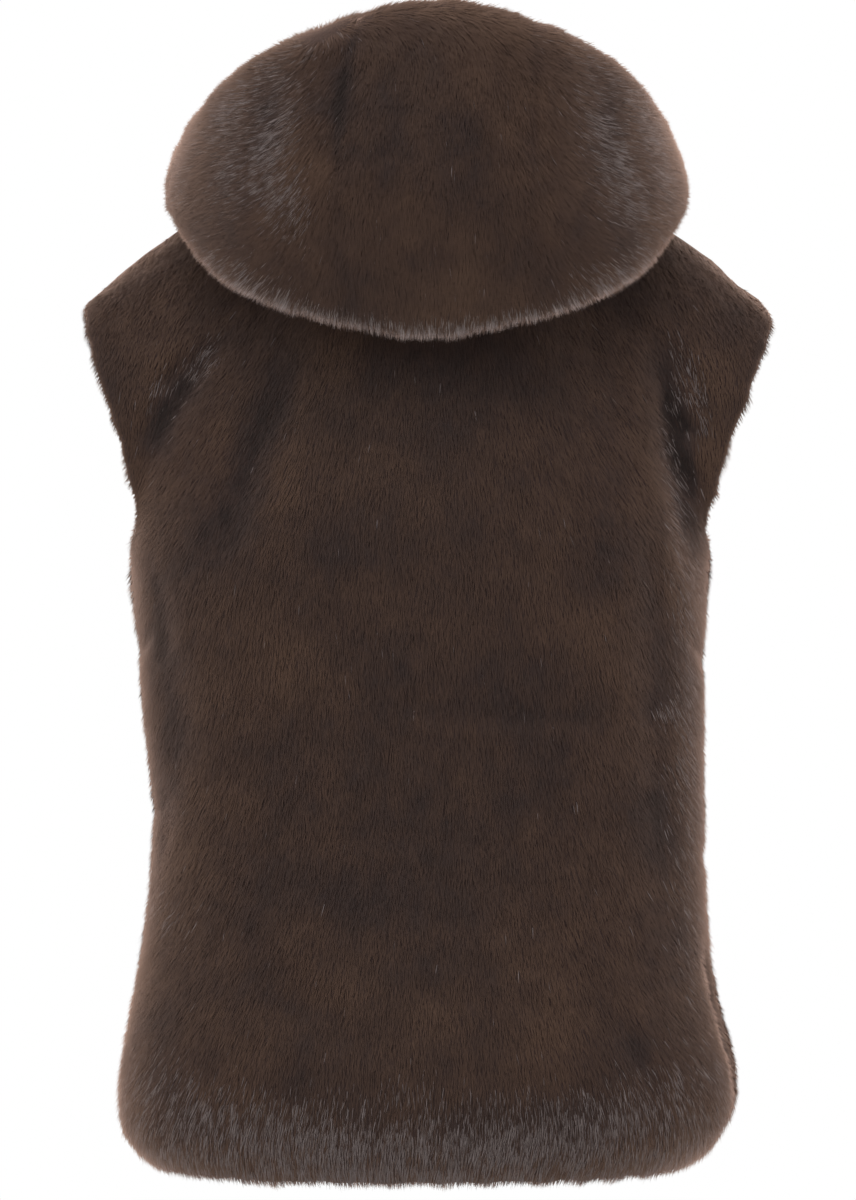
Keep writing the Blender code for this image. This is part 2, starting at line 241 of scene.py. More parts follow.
def bend(start: Place, middle: Place, end: Place, count: int = 25) -> Floats:
    """Points of a smooth line through three places.

    Args:
        start: The first place.
        middle: The place half way.
        end: The last place.
        count: How many points.

    Returns:
        The points, from the first place to the last.
    """
    share = np.linspace(0, 1, count)[:, None]
    first, through_it, last = (np.array(place) for place in (start, middle, end))
    control = 2 * through_it - (first + last) / 2
    return first * (1 - share) ** 2 + 2 * control * share * (1 - share) + last * share**2


@dataclass(frozen=True)
class Stroke:
    """A soft stroke on one side of the vest: a fold of the cloth or a streak of pale hair that paints sheen.

    The places are across and up. The strength is a depth for a fold, and a share of the hairs for a streak.
    """

    face: Face
    start: Place
    middle: Place
    end: Place
    strength: float
    half_width: float

    def on(self, points: Floats, spread: float) -> Floats:
        """How much of the stroke each point of a grid gets, with the stroke made wider by a factor.

        Args:
            points: A grid of points.
            spread: The factor for its width.

        Returns:
            A strength for each point.
        """
        path = bend(self.start, self.middle, self.end)
        places = points[..., (self.face.across, 2)][..., None, :]
        away = np.linalg.norm(places - path, axis=-1)
        fade = np.sin(np.pi * (away.argmin(axis=-1) + 0.5) / len(path)) ** 0.5
        mark = self.strength * fade * np.exp(-((away.min(axis=-1) / (self.half_width * spread)) ** 2))
        return np.where(self.face.holds(points), mark, 0)


def strokes_on(strokes: Sequence[Stroke], points: Floats, spread: float = 1.0) -> Floats:
    """The sum of several strokes at each point of a grid."""
    return sum((stroke.on(points, spread) for stroke in strokes), np.zeros(points.shape[:2]))


@dataclass(frozen=True)
class Marks:
    """What is drawn on a cloth: folds with painted shade and highlight, and streaks of painted sheen."""

    folds: tuple[Stroke, ...]
    pale: tuple[Stroke, ...]
    # Painted shade in a fold's trough, painted highlight on its shoulders, and how wide that highlight
    # spreads.
    trough_painted_shade: float = 1.9
    shoulder_painted_highlight: float = 0.75
    glow_spread: float = 2.6
    deepest: float = 0.009
    # How far from the plane between back and front a streak starts, and is whole.
    fades: Span = (0.004, 0.045)

    def shadow(self, points: Floats) -> Floats:
        """Painted shade along the bottom of each fold, and a little painted highlight on its shoulders.

        Args:
            points: A grid of points.

        Returns:
            From -1, lightest, to 1, darkest.
        """
        trough = strokes_on(self.folds, points) * self.trough_painted_shade
        shoulders = strokes_on(self.folds, points, self.glow_spread) * self.shoulder_painted_highlight
        return np.clip((trough - shoulders) / self.deepest, -1, 1)

    def streaks(self, points: Floats) -> Floats:
        """The share of pale hair, a painted sheen, at each point."""
        return strokes_on(self.pale, points) * smooth_step(np.abs(points[..., 1]), *self.fades)


@dataclass(frozen=True)
class Ripple:
    """Gentle unevenness of the pile, as waves of one rough length in many directions."""

    wavelength: float
    height: float
    seed: int
    waves: int = 14
    # The shortest and the longest wave number, as a share of the usual one.
    spread: Span = (0.7, 1.4)

    def on(self, points: Floats) -> Floats:
        """The height of the ripple at each point.

        Args:
            points: Points in metres.

        Returns:
            Heights in metres.
        """
        rng = np.random.default_rng(self.seed)
        ways = unit(rng.normal(size=(self.waves, 3)))
        numbers = 2 * np.pi / (self.wavelength * rng.uniform(*self.spread, self.waves))
        starts = rng.uniform(0, 2 * np.pi, self.waves)
        phases = (points @ ways.T) * numbers + starts
        return self.height * np.sin(phases).sum(axis=-1) / math.sqrt(self.waves)


# The fields of a cloth that hold one value for each grid point.
GRIDS = ("points", "normals", "nap", "gleam", "lift", "cover", "side")
# A border point counts as soft if its soft ways out add up to more than this.
SOFT_ENOUGH = 0.2


@dataclass
class Cloth:
    """One panel's fur tips as a grid. Rows go up or away from the neck, columns from left to right."""

    points: Floats
    normals: Floats
    nap: Floats
    gleam: Floats
    lift: Floats
    cover: Floats
    side: Floats
    marks: Marks
    bottom: list[Edge]
    right: list[Edge]
    top: list[Edge]
    left: list[Edge]

    def refined(self, step: float) -> Cloth:
        """The same cloth on a finer grid.

        Args:
            step: About how far apart the new points are. Every old line stays.

        Returns:
            A new cloth that passes smoothly through the points of this one, with its folds pressed in.
        """
        rows = self._places(0, step)
        columns = self._places(1, step)

        def read(values: Floats) -> Floats:
            return through_grid(through_grid(values, rows, 0), columns, 1)

        def share(values: Floats, lowest: float = 0) -> Floats:
            return np.clip(read(values[..., None])[..., 0], lowest, 1)

        def names(edges: list[Edge], places: Floats) -> list[Edge]:
            middles = (places[1:] + places[:-1]) / 2
            return [edges[int(place)] for place in middles]

        smooth, facing = read(self.points), unit(read(self.normals))
        folded = smooth - facing * strokes_on(self.marks.folds, smooth)[..., None]
        return Cloth(
            points=folded,
            normals=unit(facing + normals_of(folded) - normals_of(smooth)),
            nap=unit(read(self.nap)),
            gleam=np.clip(share(self.gleam) + self.marks.streaks(smooth), 0, 1),
            lift=share(self.lift, lowest=-1),
            cover=share(self.cover),
            side=read(self.side),
            marks=self.marks,
            bottom=names(self.bottom, columns),
            right=names(self.right, rows),
            top=names(self.top, columns),
            left=names(self.left, rows),
        )

    def _places(self, axis: int, step: float) -> Floats:
        """Where the finer lines are, counted in the old ones.

        Args:
            axis: 0 for the rows, 1 for the columns.
            step: About how far apart they are.

        Returns:
            The places, with both borders.
        """
        lengths = np.linalg.norm(np.diff(self.points, axis=axis), axis=-1).mean(axis=1 - axis)
        counts = np.maximum(1, np.round(lengths / step)).astype(int)
        starts = [i + np.arange(count) / count for i, count in enumerate(counts)]
        return np.concatenate([*starts, [len(counts)]])

    def columns(self, part: slice, right: list[Edge], left: list[Edge]) -> Cloth:
        """Some neighbouring columns of the cloth, with new names for the two cut edges.

        Args:
            part: The columns.
            right: The runs of the right edge.
            left: The runs of the left edge.

        Returns:
            A new cloth with grids of its own.
        """
        runs = slice(part.start, part.stop - 1)
        grids = {name: getattr(self, name)[:, part].copy() for name in GRIDS}
        return replace(
            self, **grids, bottom=self.bottom[runs], top=self.top[runs], right=right, left=left
        )

    def border(self) -> tuple[list[tuple[int, int]], list[Edge]]:
        """Row and column of each border point anticlockwise, and the name of the run that starts there.

        Returns:
            The places, and a name for each.
        """
        rows, columns = self.points.shape[:2]
        places = [(0, c) for c in range(columns - 1)]
        places += [(r, columns - 1) for r in range(rows - 1)]
        places += [(rows - 1, c) for c in range(columns - 1, 0, -1)]
        places += [(r, 0) for r in range(rows - 1, 0, -1)]
        return places, self.bottom + self.right + self.top[::-1] + self.left[::-1]

    def edge_ways(self) -> tuple[Floats, Floats]:
        """The way out of the panel at each border point, and the share of it that is soft.

        Returns:
            The way out, which lies in the seam's flat where a soft edge meets a seam, and 1 where the
            point is on a soft edge and 0 where it is only on seams.
        """
        places, names = self.border()
        line = np.array([self.points[place] for place in places])
        facing = np.array([self.normals[place] for place in places])
        count = len(line)
        ways, softness = np.zeros((count, 3)), np.zeros(count)
        for k in range(count):
            seams, soft = [], np.zeros(3)
            for start, end, name in (
                (line[k - 1], line[k], names[k - 1]),
                (line[k], line[(k + 1) % count], names[k]),
            ):
                out = np.cross(end - start, facing[k])
                if name.middle:
                    out = np.array([0, out[1], 0])
                if name.soft:
                    soft += unit(out)
                else:
                    seams.append(unit(out))
            for out in seams:
                soft -= out * (soft @ out)
            softness[k] = float(np.linalg.norm(soft) > SOFT_ENOUGH)
            ways[k] = unit(soft) if softness[k] else unit(sum(seams))
        return ways, softness


@dataclass(frozen=True)
class Neck:
    """The neckline, where body and hood meet. Angles go from the middle of the back to the right."""

    half_width: float = 0.085
    back: float = 0.078
    front: float = 0.094
    height: float = -0.012
    back_drop: float = 0.012
    front_drop: float = 0.082
    tilt_middle: float = 20
    tilt_side: float = 60
    step: float = 10
    gusset_left: float = -18
    gusset_right: float = 21
    front_edge: float = 0.0092

    @property
    def front_angle(self) -> float:
        """The angle at which each front's edge meets the neckline."""
        return 180 - math.degrees(math.asin(self.front_edge / self.half_width))

    def angles(self, start: float, end: float) -> Floats:
        """Angles in even steps, with the two gusset seams among them.

        Args:
            start: The first angle, in degrees.
            end: The last angle.

        Returns:
            The angles.
        """
        angles = np.arange(start, end + 1, self.step, dtype=float)
        angles[angles == -2 * self.step] = self.gusset_left
        angles[angles == 2 * self.step] = self.gusset_right
        return angles

    def line(self, angles: ArrayLike) -> Floats:
        """Points of the neckline.

        Args:
            angles: Where, in degrees.

        Returns:
            The points.
        """
        turn = np.radians(np.asarray(angles, float))
        ahead = np.cos(turn)
        depth = np.where(ahead >= 0, self.back, self.front)
        drop = np.where(ahead >= 0, self.back_drop, self.front_drop)
        across = self.half_width * np.sin(turn)
        return np.stack([across, -depth * ahead, self.height - drop * ahead**2], axis=-1)

    def outward(self, angles: ArrayLike) -> Floats:
        """Level directions away from the neck."""
        turn = np.radians(np.asarray(angles, float))
        return np.stack([np.sin(turn), -np.cos(turn), np.zeros_like(turn)], axis=-1)

    def normals(self, angles: ArrayLike) -> Floats:
        """Directions out of the fur at the neck seam.

        Args:
            angles: Where, in degrees.

        Returns:
            Vectors of length one.
        """
        angles = np.asarray(angles, float)
        tilt = self.tilt_middle + (self.tilt_side - self.tilt_middle) * np.sin(np.radians(angles)) ** 2
        tilt = np.radians(tilt)[..., None]
        return self.outward(angles) * np.cos(tilt) + UP * np.sin(tilt)


@dataclass(frozen=True)
class Ring:
    """The body at one height: half widths and half depths to the tips of the fur."""

    height: float
    left: float
    right: float
    back: float
    front: float


UNDERARM = -0.290
RINGS = (
    Ring(-0.724, 0.195, 0.187, 0.119, 0.117),
    Ring(-0.714, 0.208, 0.201, 0.127, 0.125),
    Ring(-0.698, 0.218, 0.214, 0.132, 0.130),
    Ring(-0.668, 0.221, 0.224, 0.134, 0.131),
    Ring(-0.625, 0.215, 0.214, 0.130, 0.128),
    Ring(-0.570, 0.205, 0.203, 0.122, 0.120),
    Ring(-0.520, 0.199, 0.200, 0.115, 0.114),
    Ring(-0.460, 0.198, 0.199, 0.111, 0.110),
    Ring(-0.400, 0.204, 0.199, 0.113, 0.113),
    Ring(-0.340, 0.210, 0.200, 0.120, 0.120),
    Ring(UNDERARM, 0.214, 0.205, 0.125, 0.123),
)
RING_HEIGHTS = (
    -0.724, -0.714, -0.698, -0.675, -0.645, -0.610, -0.570, -0.525, -0.475,
    -0.430, -0.397, -0.365, -0.328, UNDERARM,
)  # fmt: skip
# FOLDS and CREASES are pressed into the body, and Marks paints shade along each and a highlight beside it.
FOLDS = (
    Stroke(Face.BACK, (-0.146, -0.135), (-0.176, -0.178), (-0.196, -0.214), 0.006, 0.012),
    Stroke(Face.BACK, (-0.094, -0.150), (-0.120, -0.215), (-0.142, -0.285), 0.005, 0.016),
    Stroke(Face.BACK, (0.166, -0.140), (0.176, -0.215), (0.192, -0.300), 0.009, 0.013),
    Stroke(Face.BACK, (0.158, -0.260), (0.160, -0.380), (0.164, -0.540), 0.003, 0.012),
    Stroke(Face.BACK, (-0.032, -0.394), (0.080, -0.398), (0.184, -0.392), 0.0016, 0.010),
    Stroke(Face.BACK, (-0.120, -0.560), (-0.080, -0.600), (-0.020, -0.620), 0.002, 0.018),
    Stroke(Face.BACK, (-0.190, -0.330), (-0.178, -0.400), (-0.184, -0.470), 0.003, 0.014),
    Stroke(Face.RIGHT, (-0.030, -0.560), (-0.024, -0.625), (-0.020, -0.700), 0.008, 0.013),
    Stroke(Face.LEFT, (0.024, -0.590), (0.020, -0.640), (0.018, -0.700), 0.005, 0.014),
    Stroke(Face.FRONT, (-0.150, -0.150), (-0.176, -0.200), (-0.190, -0.260), 0.006, 0.013),
    Stroke(Face.FRONT, (0.140, -0.150), (0.162, -0.210), (0.186, -0.280), 0.007, 0.013),
    Stroke(Face.FRONT, (-0.070, -0.180), (-0.110, -0.290), (-0.130, -0.400), 0.004, 0.018),
    Stroke(Face.FRONT, (0.080, -0.330), (0.120, -0.395), (0.170, -0.410), 0.003, 0.012),
    Stroke(Face.FRONT, (0.060, -0.520), (0.075, -0.600), (0.070, -0.690), 0.004, 0.020),
    Stroke(Face.FRONT, (-0.110, -0.500), (-0.100, -0.590), (-0.115, -0.690), 0.003, 0.018),
)
CREASES = (
    Stroke(Face.BACK, (-0.170, -0.150), (-0.182, -0.160), (-0.196, -0.168), 0.0022, 0.006),
    Stroke(Face.BACK, (0.176, -0.146), (0.188, -0.164), (0.196, -0.190), 0.0030, 0.006),
    Stroke(Face.BACK, (0.168, -0.188), (0.180, -0.195), (0.192, -0.206), 0.0024, 0.006),
    Stroke(Face.BACK, (0.178, -0.222), (0.186, -0.234), (0.191, -0.252), 0.0024, 0.006),
    Stroke(Face.BACK, (-0.196, -0.296), (-0.186, -0.328), (-0.190, -0.362), 0.0020, 0.007),
    Stroke(Face.BACK, (-0.200, -0.440), (-0.188, -0.470), (-0.194, -0.520), 0.0022, 0.008),
    Stroke(Face.BACK, (0.120, -0.600), (0.150, -0.640), (0.160, -0.690), 0.0020, 0.010),
    Stroke(Face.BACK, (-0.060, -0.330), (-0.040, -0.380), (-0.050, -0.440), 0.0012, 0.012),
    Stroke(Face.FRONT, (-0.060, -0.150), (-0.085, -0.200), (-0.090, -0.262), 0.0020, 0.008),
    Stroke(Face.FRONT, (0.070, -0.160), (0.085, -0.215), (0.082, -0.290), 0.0024, 0.008),
    Stroke(Face.FRONT, (-0.185, -0.330), (-0.160, -0.350), (-0.118, -0.352), 0.0022, 0.007),
    Stroke(Face.FRONT, (0.190, -0.430), (0.150, -0.452), (0.108, -0.455), 0.0020, 0.008),
    Stroke(Face.FRONT, (-0.040, -0.450), (-0.060, -0.500), (-0.050, -0.560), 0.0014, 0.012),
    Stroke(Face.LEFT, (-0.060, -0.330), (-0.020, -0.350), (0.034, -0.344), 0.0022, 0.007),
    Stroke(Face.LEFT, (0.050, -0.450), (0.000, -0.470), (-0.044, -0.460), 0.0018, 0.008),
    Stroke(Face.RIGHT, (-0.052, -0.342), (0.000, -0.362), (0.046, -0.350), 0.0022, 0.007),
    Stroke(Face.RIGHT, (0.062, -0.476), (0.010, -0.500), (-0.034, -0.492), 0.0018, 0.008),
)
# Streaks of pale hair that paint sheen on the body, where the fur catches light near folds and along the
# hem.
PAINTED_SHEEN_ON_BODY = (
    Stroke(Face.BACK, (-0.150, -0.138), (-0.158, -0.152), (-0.170, -0.166), 0.45, 0.007),
    Stroke(Face.BACK, (-0.184, -0.160), (-0.188, -0.168), (-0.194, -0.182), 0.30, 0.006),
    Stroke(Face.BACK, (0.176, -0.135), (0.180, -0.160), (0.176, -0.185), 0.35, 0.006),
    Stroke(Face.BACK, (0.186, -0.160), (0.192, -0.185), (0.190, -0.205), 0.30, 0.006),
    Stroke(Face.BACK, (0.170, -0.205), (0.176, -0.225), (0.184, -0.250), 0.35, 0.007),
    Stroke(Face.BACK, (0.182, -0.250), (0.188, -0.400), (0.186, -0.600), 0.34, 0.012),
    Stroke(Face.BACK, (0.160, -0.396), (0.172, -0.397), (0.184, -0.392), 0.35, 0.004),
    Stroke(Face.BACK, (-0.198, -0.530), (-0.186, -0.540), (-0.172, -0.538), 0.25, 0.008),
    Stroke(Face.BACK, (-0.024, -0.648), (-0.010, -0.654), (0.004, -0.650), 0.30, 0.006),
    Stroke(Face.BACK, (-0.200, -0.655), (-0.010, -0.702), (0.196, -0.650), 0.62, 0.021),
    Stroke(Face.BACK, (-0.130, -0.690), (-0.020, -0.704), (0.100, -0.690), 0.35, 0.012),
    Stroke(Face.FRONT, (-0.200, -0.655), (0.010, -0.702), (0.196, -0.650), 0.30, 0.020),
    Stroke(Face.FRONT, (-0.176, -0.150), (-0.190, -0.180), (-0.196, -0.230), 0.30, 0.007),
    Stroke(Face.FRONT, (0.168, -0.160), (0.184, -0.190), (0.192, -0.240), 0.30, 0.007),
)


@dataclass
class Body:
    """The back and the two fronts."""

    neck: Neck
    squareness: float = 2.4
    ring_samples: int = 181
    upper_rows: int = 13
    even_rows: float = 0.3
    relaxed_below: int = 3
    relax_passes: int = 6
    shoulder_columns: int = 6
    tip_left: Place = (-0.243, -0.104)
    tip_right: Place = (0.245, -0.110)
    shoulder_crown: float = 0.014
    armhole_bulge: float = 0.066
    armhole_hollow: float = 0.028
    armhole_reach: float = 0.45
    shoulder_rounding: float = 0.5
    side_fan: float = 0.45
    # Over these last rows the hair lies down to the shoulder seam and its blades turn to the seen side.
    seam_rows: int = 2
    seam_lift: float = -0.28
    seam_side_back: float = -1
    seam_side_front: float = -0.4
    # Painted sheen along the hem, as a share of pale hairs by row.
    hem_rows: tuple[float, ...] = (0, 2, 4)
    hem_painted_sheen: tuple[float, ...] = (0.60, 0.38, 0)

    def half_ring(self, height: float, facing: int, count: int) -> Floats:
        """Half a ring round the body, from side seam to side seam.

        Args:
            height: Its height.
            facing: -1 for the back, 1 for the fronts.
            count: The number of steps.

        Returns:
            The ring's points, which run anticlockwise as seen from above.
        """
        heights = [ring.height for ring in RINGS]
        left, right, back, front = (
            float(through(heights, [getattr(ring, name) for ring in RINGS], height))
            for name in ("left", "right", "back", "front")
        )
        turn = np.radians(np.linspace(-90, 90, self.ring_samples))
        power = 2 / self.squareness
        across = np.sign(np.sin(turn)) * np.abs(np.sin(turn)) ** power * -facing
        away = np.maximum(np.cos(turn), 0) ** power
        depth = back if facing < 0 else front
        line_x = (right - left) / 2 + (right + left) / 2 * across
        line = np.stack([line_x, facing * depth * away, np.full_like(turn, height)], axis=1)
        return evenly_along(line, count)

    def shoulder_line(self, tip: Place) -> Floats:
        """Points of a shoulder seam from the tip to the neck point.

        Args:
            tip: The shoulder tip, across and up.

        Returns:
            The points.
        """
        neck = np.array([math.copysign(self.neck.half_width, tip[0]), 0, self.neck.height])
        end = np.array([tip[0], 0, tip[1]])
        share = np.linspace(0, 1, self.shoulder_columns + 1)[:, None]
        return end + (neck - end) * share + self.shoulder_crown * np.sin(np.pi * share) * UP

    def top_edge(self, facing: int) -> tuple[Floats, Floats]:
        """The shoulder seams with the neckline between them, and the angle of each neck point.

        Args:
            facing: -1 for the back, 1 for the fronts.

        Returns:
            The points, and the angles in degrees.
        """
        if facing < 0:
            angles = self.neck.angles(-90, 90)
            first, last = self.tip_left, self.tip_right
        else:
            angles = np.arange(90, 271, self.neck.step, dtype=float)
            first, last = self.tip_right, self.tip_left
        start, end = self.shoulder_line(first)[:-1], self.shoulder_line(last)[::-1][1:]
        return np.concatenate([start, self.neck.line(angles), end]), angles

    def face(self, facing: int) -> Cloth:
        """The whole back, with facing -1, or both fronts in one, with facing 1.

        Args:
            facing: Which side of the body.

        Returns:
            The cloth, from the hem up to the neckline.
        """
        top, angles = self.top_edge(facing)
        count = len(top) - 1
        lower = [self.half_ring(height, facing, count) for height in RING_HEIGHTS]
        share = np.linspace(-1, 1, count + 1)
        points = np.array(lower + self._upper_rows(top, lower[-1], share, facing))
        points = self._relaxed(points)
        normals = self._settled(normals_of(points), angles)
        rows, columns = points.shape[:2]
        nap = -unit(directions(points, 0))
        nap += unit(directions(points, 1)) * (self.side_fan * share * np.abs(share))[None, :, None]
        near_seam = [rows - 1 - self.seam_rows, rows - 1]
        seam_side = self.seam_side_front if facing > 0 else self.seam_side_back
        lift = np.interp(np.arange(rows), near_seam, [0, self.seam_lift])
        gleam = np.interp(np.arange(rows), self.hem_rows, self.hem_painted_sheen)
        side = np.interp(np.arange(rows), near_seam, [facing, seam_side])
        shoulder = [Edge.SHOULDER] * self.shoulder_columns
        neck = [Edge.NECK] * (columns - 1 - 2 * self.shoulder_columns)
        sides = [Edge.SIDE if r < len(RING_HEIGHTS) - 1 else Edge.ARMHOLE for r in range(rows - 1)]
        return Cloth(
            points=points,
            normals=normals,
            nap=nap,
            gleam=gleam[:, None] * np.ones(columns),
            lift=lift[:, None] * np.ones(columns),
            cover=np.ones((rows, columns)),
            side=side[:, None, None] * np.ones((1, columns, 1)) * (0.0, 1.0, 0.0),
            marks=Marks(FOLDS + CREASES, PAINTED_SHEEN_ON_BODY),
            bottom=[Edge.HEM] * (columns - 1),
            right=sides,
            top=shoulder + neck + shoulder,
            left=list(sides),
        )

    def _upper_rows(self, top: Floats, under: Floats, share: Floats, facing: int) -> list[Floats]:
        """The rows above the underarm, which curve over the back to the shoulder seams.

        Args:
            top: The row of the shoulder seams.
            under: The row of the underarm.
            share: Each column's place, from -1 to 1.
            facing: -1 for the back, 1 for the fronts.

        Returns:
            The rows, from the lowest up.
        """
        to_neck = np.clip(np.abs(share) / (1 - 2 * self.shoulder_columns / (len(share) - 1)), 0, 1)
        rounding = 1 - self.shoulder_rounding * to_neck**2
        near_edge = np.clip((np.abs(share) - self.armhole_reach) / (1 - self.armhole_reach), 0, 1) ** 2
        rows = []
        for k in range(1, self.upper_rows + 1):
            even = 1 - k / self.upper_rows
            turned = (1 - math.cos(math.pi * even)) / 2
            down = self.even_rows * even + (1 - self.even_rows) * turned
            row = top + (under - top) * down
            bulge = math.sqrt(max(4 * down * (1 - down), 0))
            row[:, 1] = top[:, 1] + (under[:, 1] - top[:, 1]) * (2 * down - down**2) ** rounding
            row[:, 1] += facing * self.armhole_bulge * bulge * near_edge
            row[:, 0] -= np.sign(row[:, 0]) * self.armhole_hollow * bulge**2 * near_edge * down
            rows.append(row)
        return rows

    def _relaxed(self, points: Floats) -> Floats:
        """The rows near the underarm and above it evened out, as cloth does between its seams.

        Args:
            points: A grid of points.

        Returns:
            The grid with the same border.
        """
        points = points.copy()
        first = len(RING_HEIGHTS) - self.relaxed_below
        for _ in range(self.relax_passes):
            inside = points[first:-1, 1:-1]
            beside = points[first:-1, :-2] + points[first:-1, 2:]
            above = points[first - 1 : -2, 1:-1] + points[first + 1 :, 1:-1]
            points[first:-1, 1:-1] = inside / 2 + (beside + above) / 8
        return points

    def _settled(self, normals: Floats, angles: Floats) -> Floats:
        """The normals with those on the seams laid in the seams' plane and those at the neck set.

        Args:
            normals: The grid's normals.
            angles: The angle of each neck point.

        Returns:
            Vectors of length one.
        """
        for column in (0, -1):
            normals[: len(RING_HEIGHTS), column, 1] = 0
        shoulders = list(range(self.shoulder_columns + 1))
        for column in shoulders + [-1 - column for column in shoulders]:
            normals[-1, column, 1] = 0
            normals[-1, column, 2] = abs(normals[-1, column, 2])
        normals[-1, self.shoulder_columns : self.shoulder_columns + len(angles)] = self.neck.normals(angles)
        return unit(normals)

    def back(self) -> Cloth:
        """The back panel."""
        return self.face(-1)

    def fronts(self) -> dict[str, Cloth]:
        """The two fronts, cut at the centre front and set back there by their soft edges.

        Returns:
            Each front's cloth by its panel's name.
        """
        whole = self.face(1)
        columns = whole.points.shape[1]
        middle = columns // 2
        front = [Edge.FRONT] * len(whole.left)
        panels = {}
        for name, part, edge, beside, turn in (
            ("front_right", slice(0, middle + 1), -1, -2, 1),
            ("front_left", slice(middle, columns), 0, 1, -1),
        ):
            right, left = (front, whole.left) if turn > 0 else (whole.right, front)
            cloth = whole.columns(part, right, left)
            inwards = unit(cloth.points[:, beside] - cloth.points[:, edge])
            cloth.points[:, edge] += inwards * self.neck.front_edge
            cloth.points[-1, edge] = self.neck.line(turn * self.neck.front_angle)
            cloth.normals[-1, edge] = self.neck.normals(turn * self.neck.front_angle)
            panels[name] = cloth
        return panels


@dataclass(frozen=True)
class HoodSection:
    """The hood at one angle round the neck: how far out and how high its fold, belly, crest and rim are."""

    angle: float
    fold_out: float
    fold_z: float
    belly_out: float
    belly_z: float
    crest_out: float
    crest_z: float
    rim_out: float
    rim_z: float


HOOD_SECTIONS = (
    HoodSection(0, 0.143, -0.119, 0.196, -0.045, 0.176, 0.086, 0.150, 0.082),
    HoodSection(45, 0.174, -0.087, 0.199, -0.036, 0.177, 0.053, 0.151, 0.050),
    HoodSection(70, 0.167, -0.046, 0.194, -0.046, 0.169, 0.027, 0.143, 0.027),
    HoodSection(90, 0.156, -0.009, 0.180, -0.004, 0.161, 0.021, 0.134, 0.020),
    HoodSection(135, 0.142, -0.044, 0.163, -0.036, 0.143, -0.004, 0.117, -0.002),
    HoodSection(180, 0.126, -0.104, 0.146, -0.096, 0.128, -0.064, 0.104, -0.058),
)
# Creases pressed into the hood, with painted shade along each and painted highlight beside it.
HOOD_CREASES = (
    Stroke(Face.BACK, (-0.112, 0.056), (-0.104, 0.010), (-0.118, -0.036), 0.0018, 0.010),
    Stroke(Face.BACK, (-0.030, 0.040), (-0.022, 0.000), (-0.030, -0.050), 0.0012, 0.010),
    Stroke(Face.BACK, (0.104, 0.060), (0.120, 0.014), (0.112, -0.040), 0.0018, 0.010),
    Stroke(Face.BACK, (0.020, 0.010), (0.034, -0.020), (0.026, -0.060), 0.0012, 0.010),
    Stroke(Face.LEFT, (0.030, 0.012), (0.040, -0.010), (0.036, -0.034), 0.0018, 0.008),
    Stroke(Face.RIGHT, (0.050, 0.008), (0.056, -0.014), (0.050, -0.036), 0.0018, 0.008),
)
# Streaks of pale hair that paint sheen on the hood's sides and along the edge of its fold.
PAINTED_SHEEN_ON_HOOD = (
    Stroke(Face.BACK, (-0.090, 0.022), (-0.106, -0.020), (-0.088, -0.062), 0.62, 0.013),
    Stroke(Face.BACK, (-0.126, 0.030), (-0.136, -0.010), (-0.132, -0.050), 0.30, 0.010),
    Stroke(Face.BACK, (0.110, 0.018), (0.128, -0.020), (0.142, -0.062), 0.62, 0.012),
    Stroke(Face.BACK, (0.140, 0.040), (0.158, 0.000), (0.166, -0.055), 0.36, 0.010),
    Stroke(Face.BACK, (-0.170, 0.010), (-0.176, -0.025), (-0.172, -0.050), 0.20, 0.012),
    Stroke(Face.BACK, (-0.157, -0.012), (-0.118, 0.034), (-0.060, 0.066), 0.30, 0.009),
    Stroke(Face.BACK, (0.090, 0.060), (0.142, 0.022), (0.165, -0.040), 0.28, 0.009),
    Stroke(Face.BACK, (-0.160, -0.078), (-0.130, -0.099), (-0.090, -0.116), 0.32, 0.008),
    Stroke(Face.BACK, (0.096, -0.112), (0.138, -0.091), (0.168, -0.070), 0.36, 0.009),
)


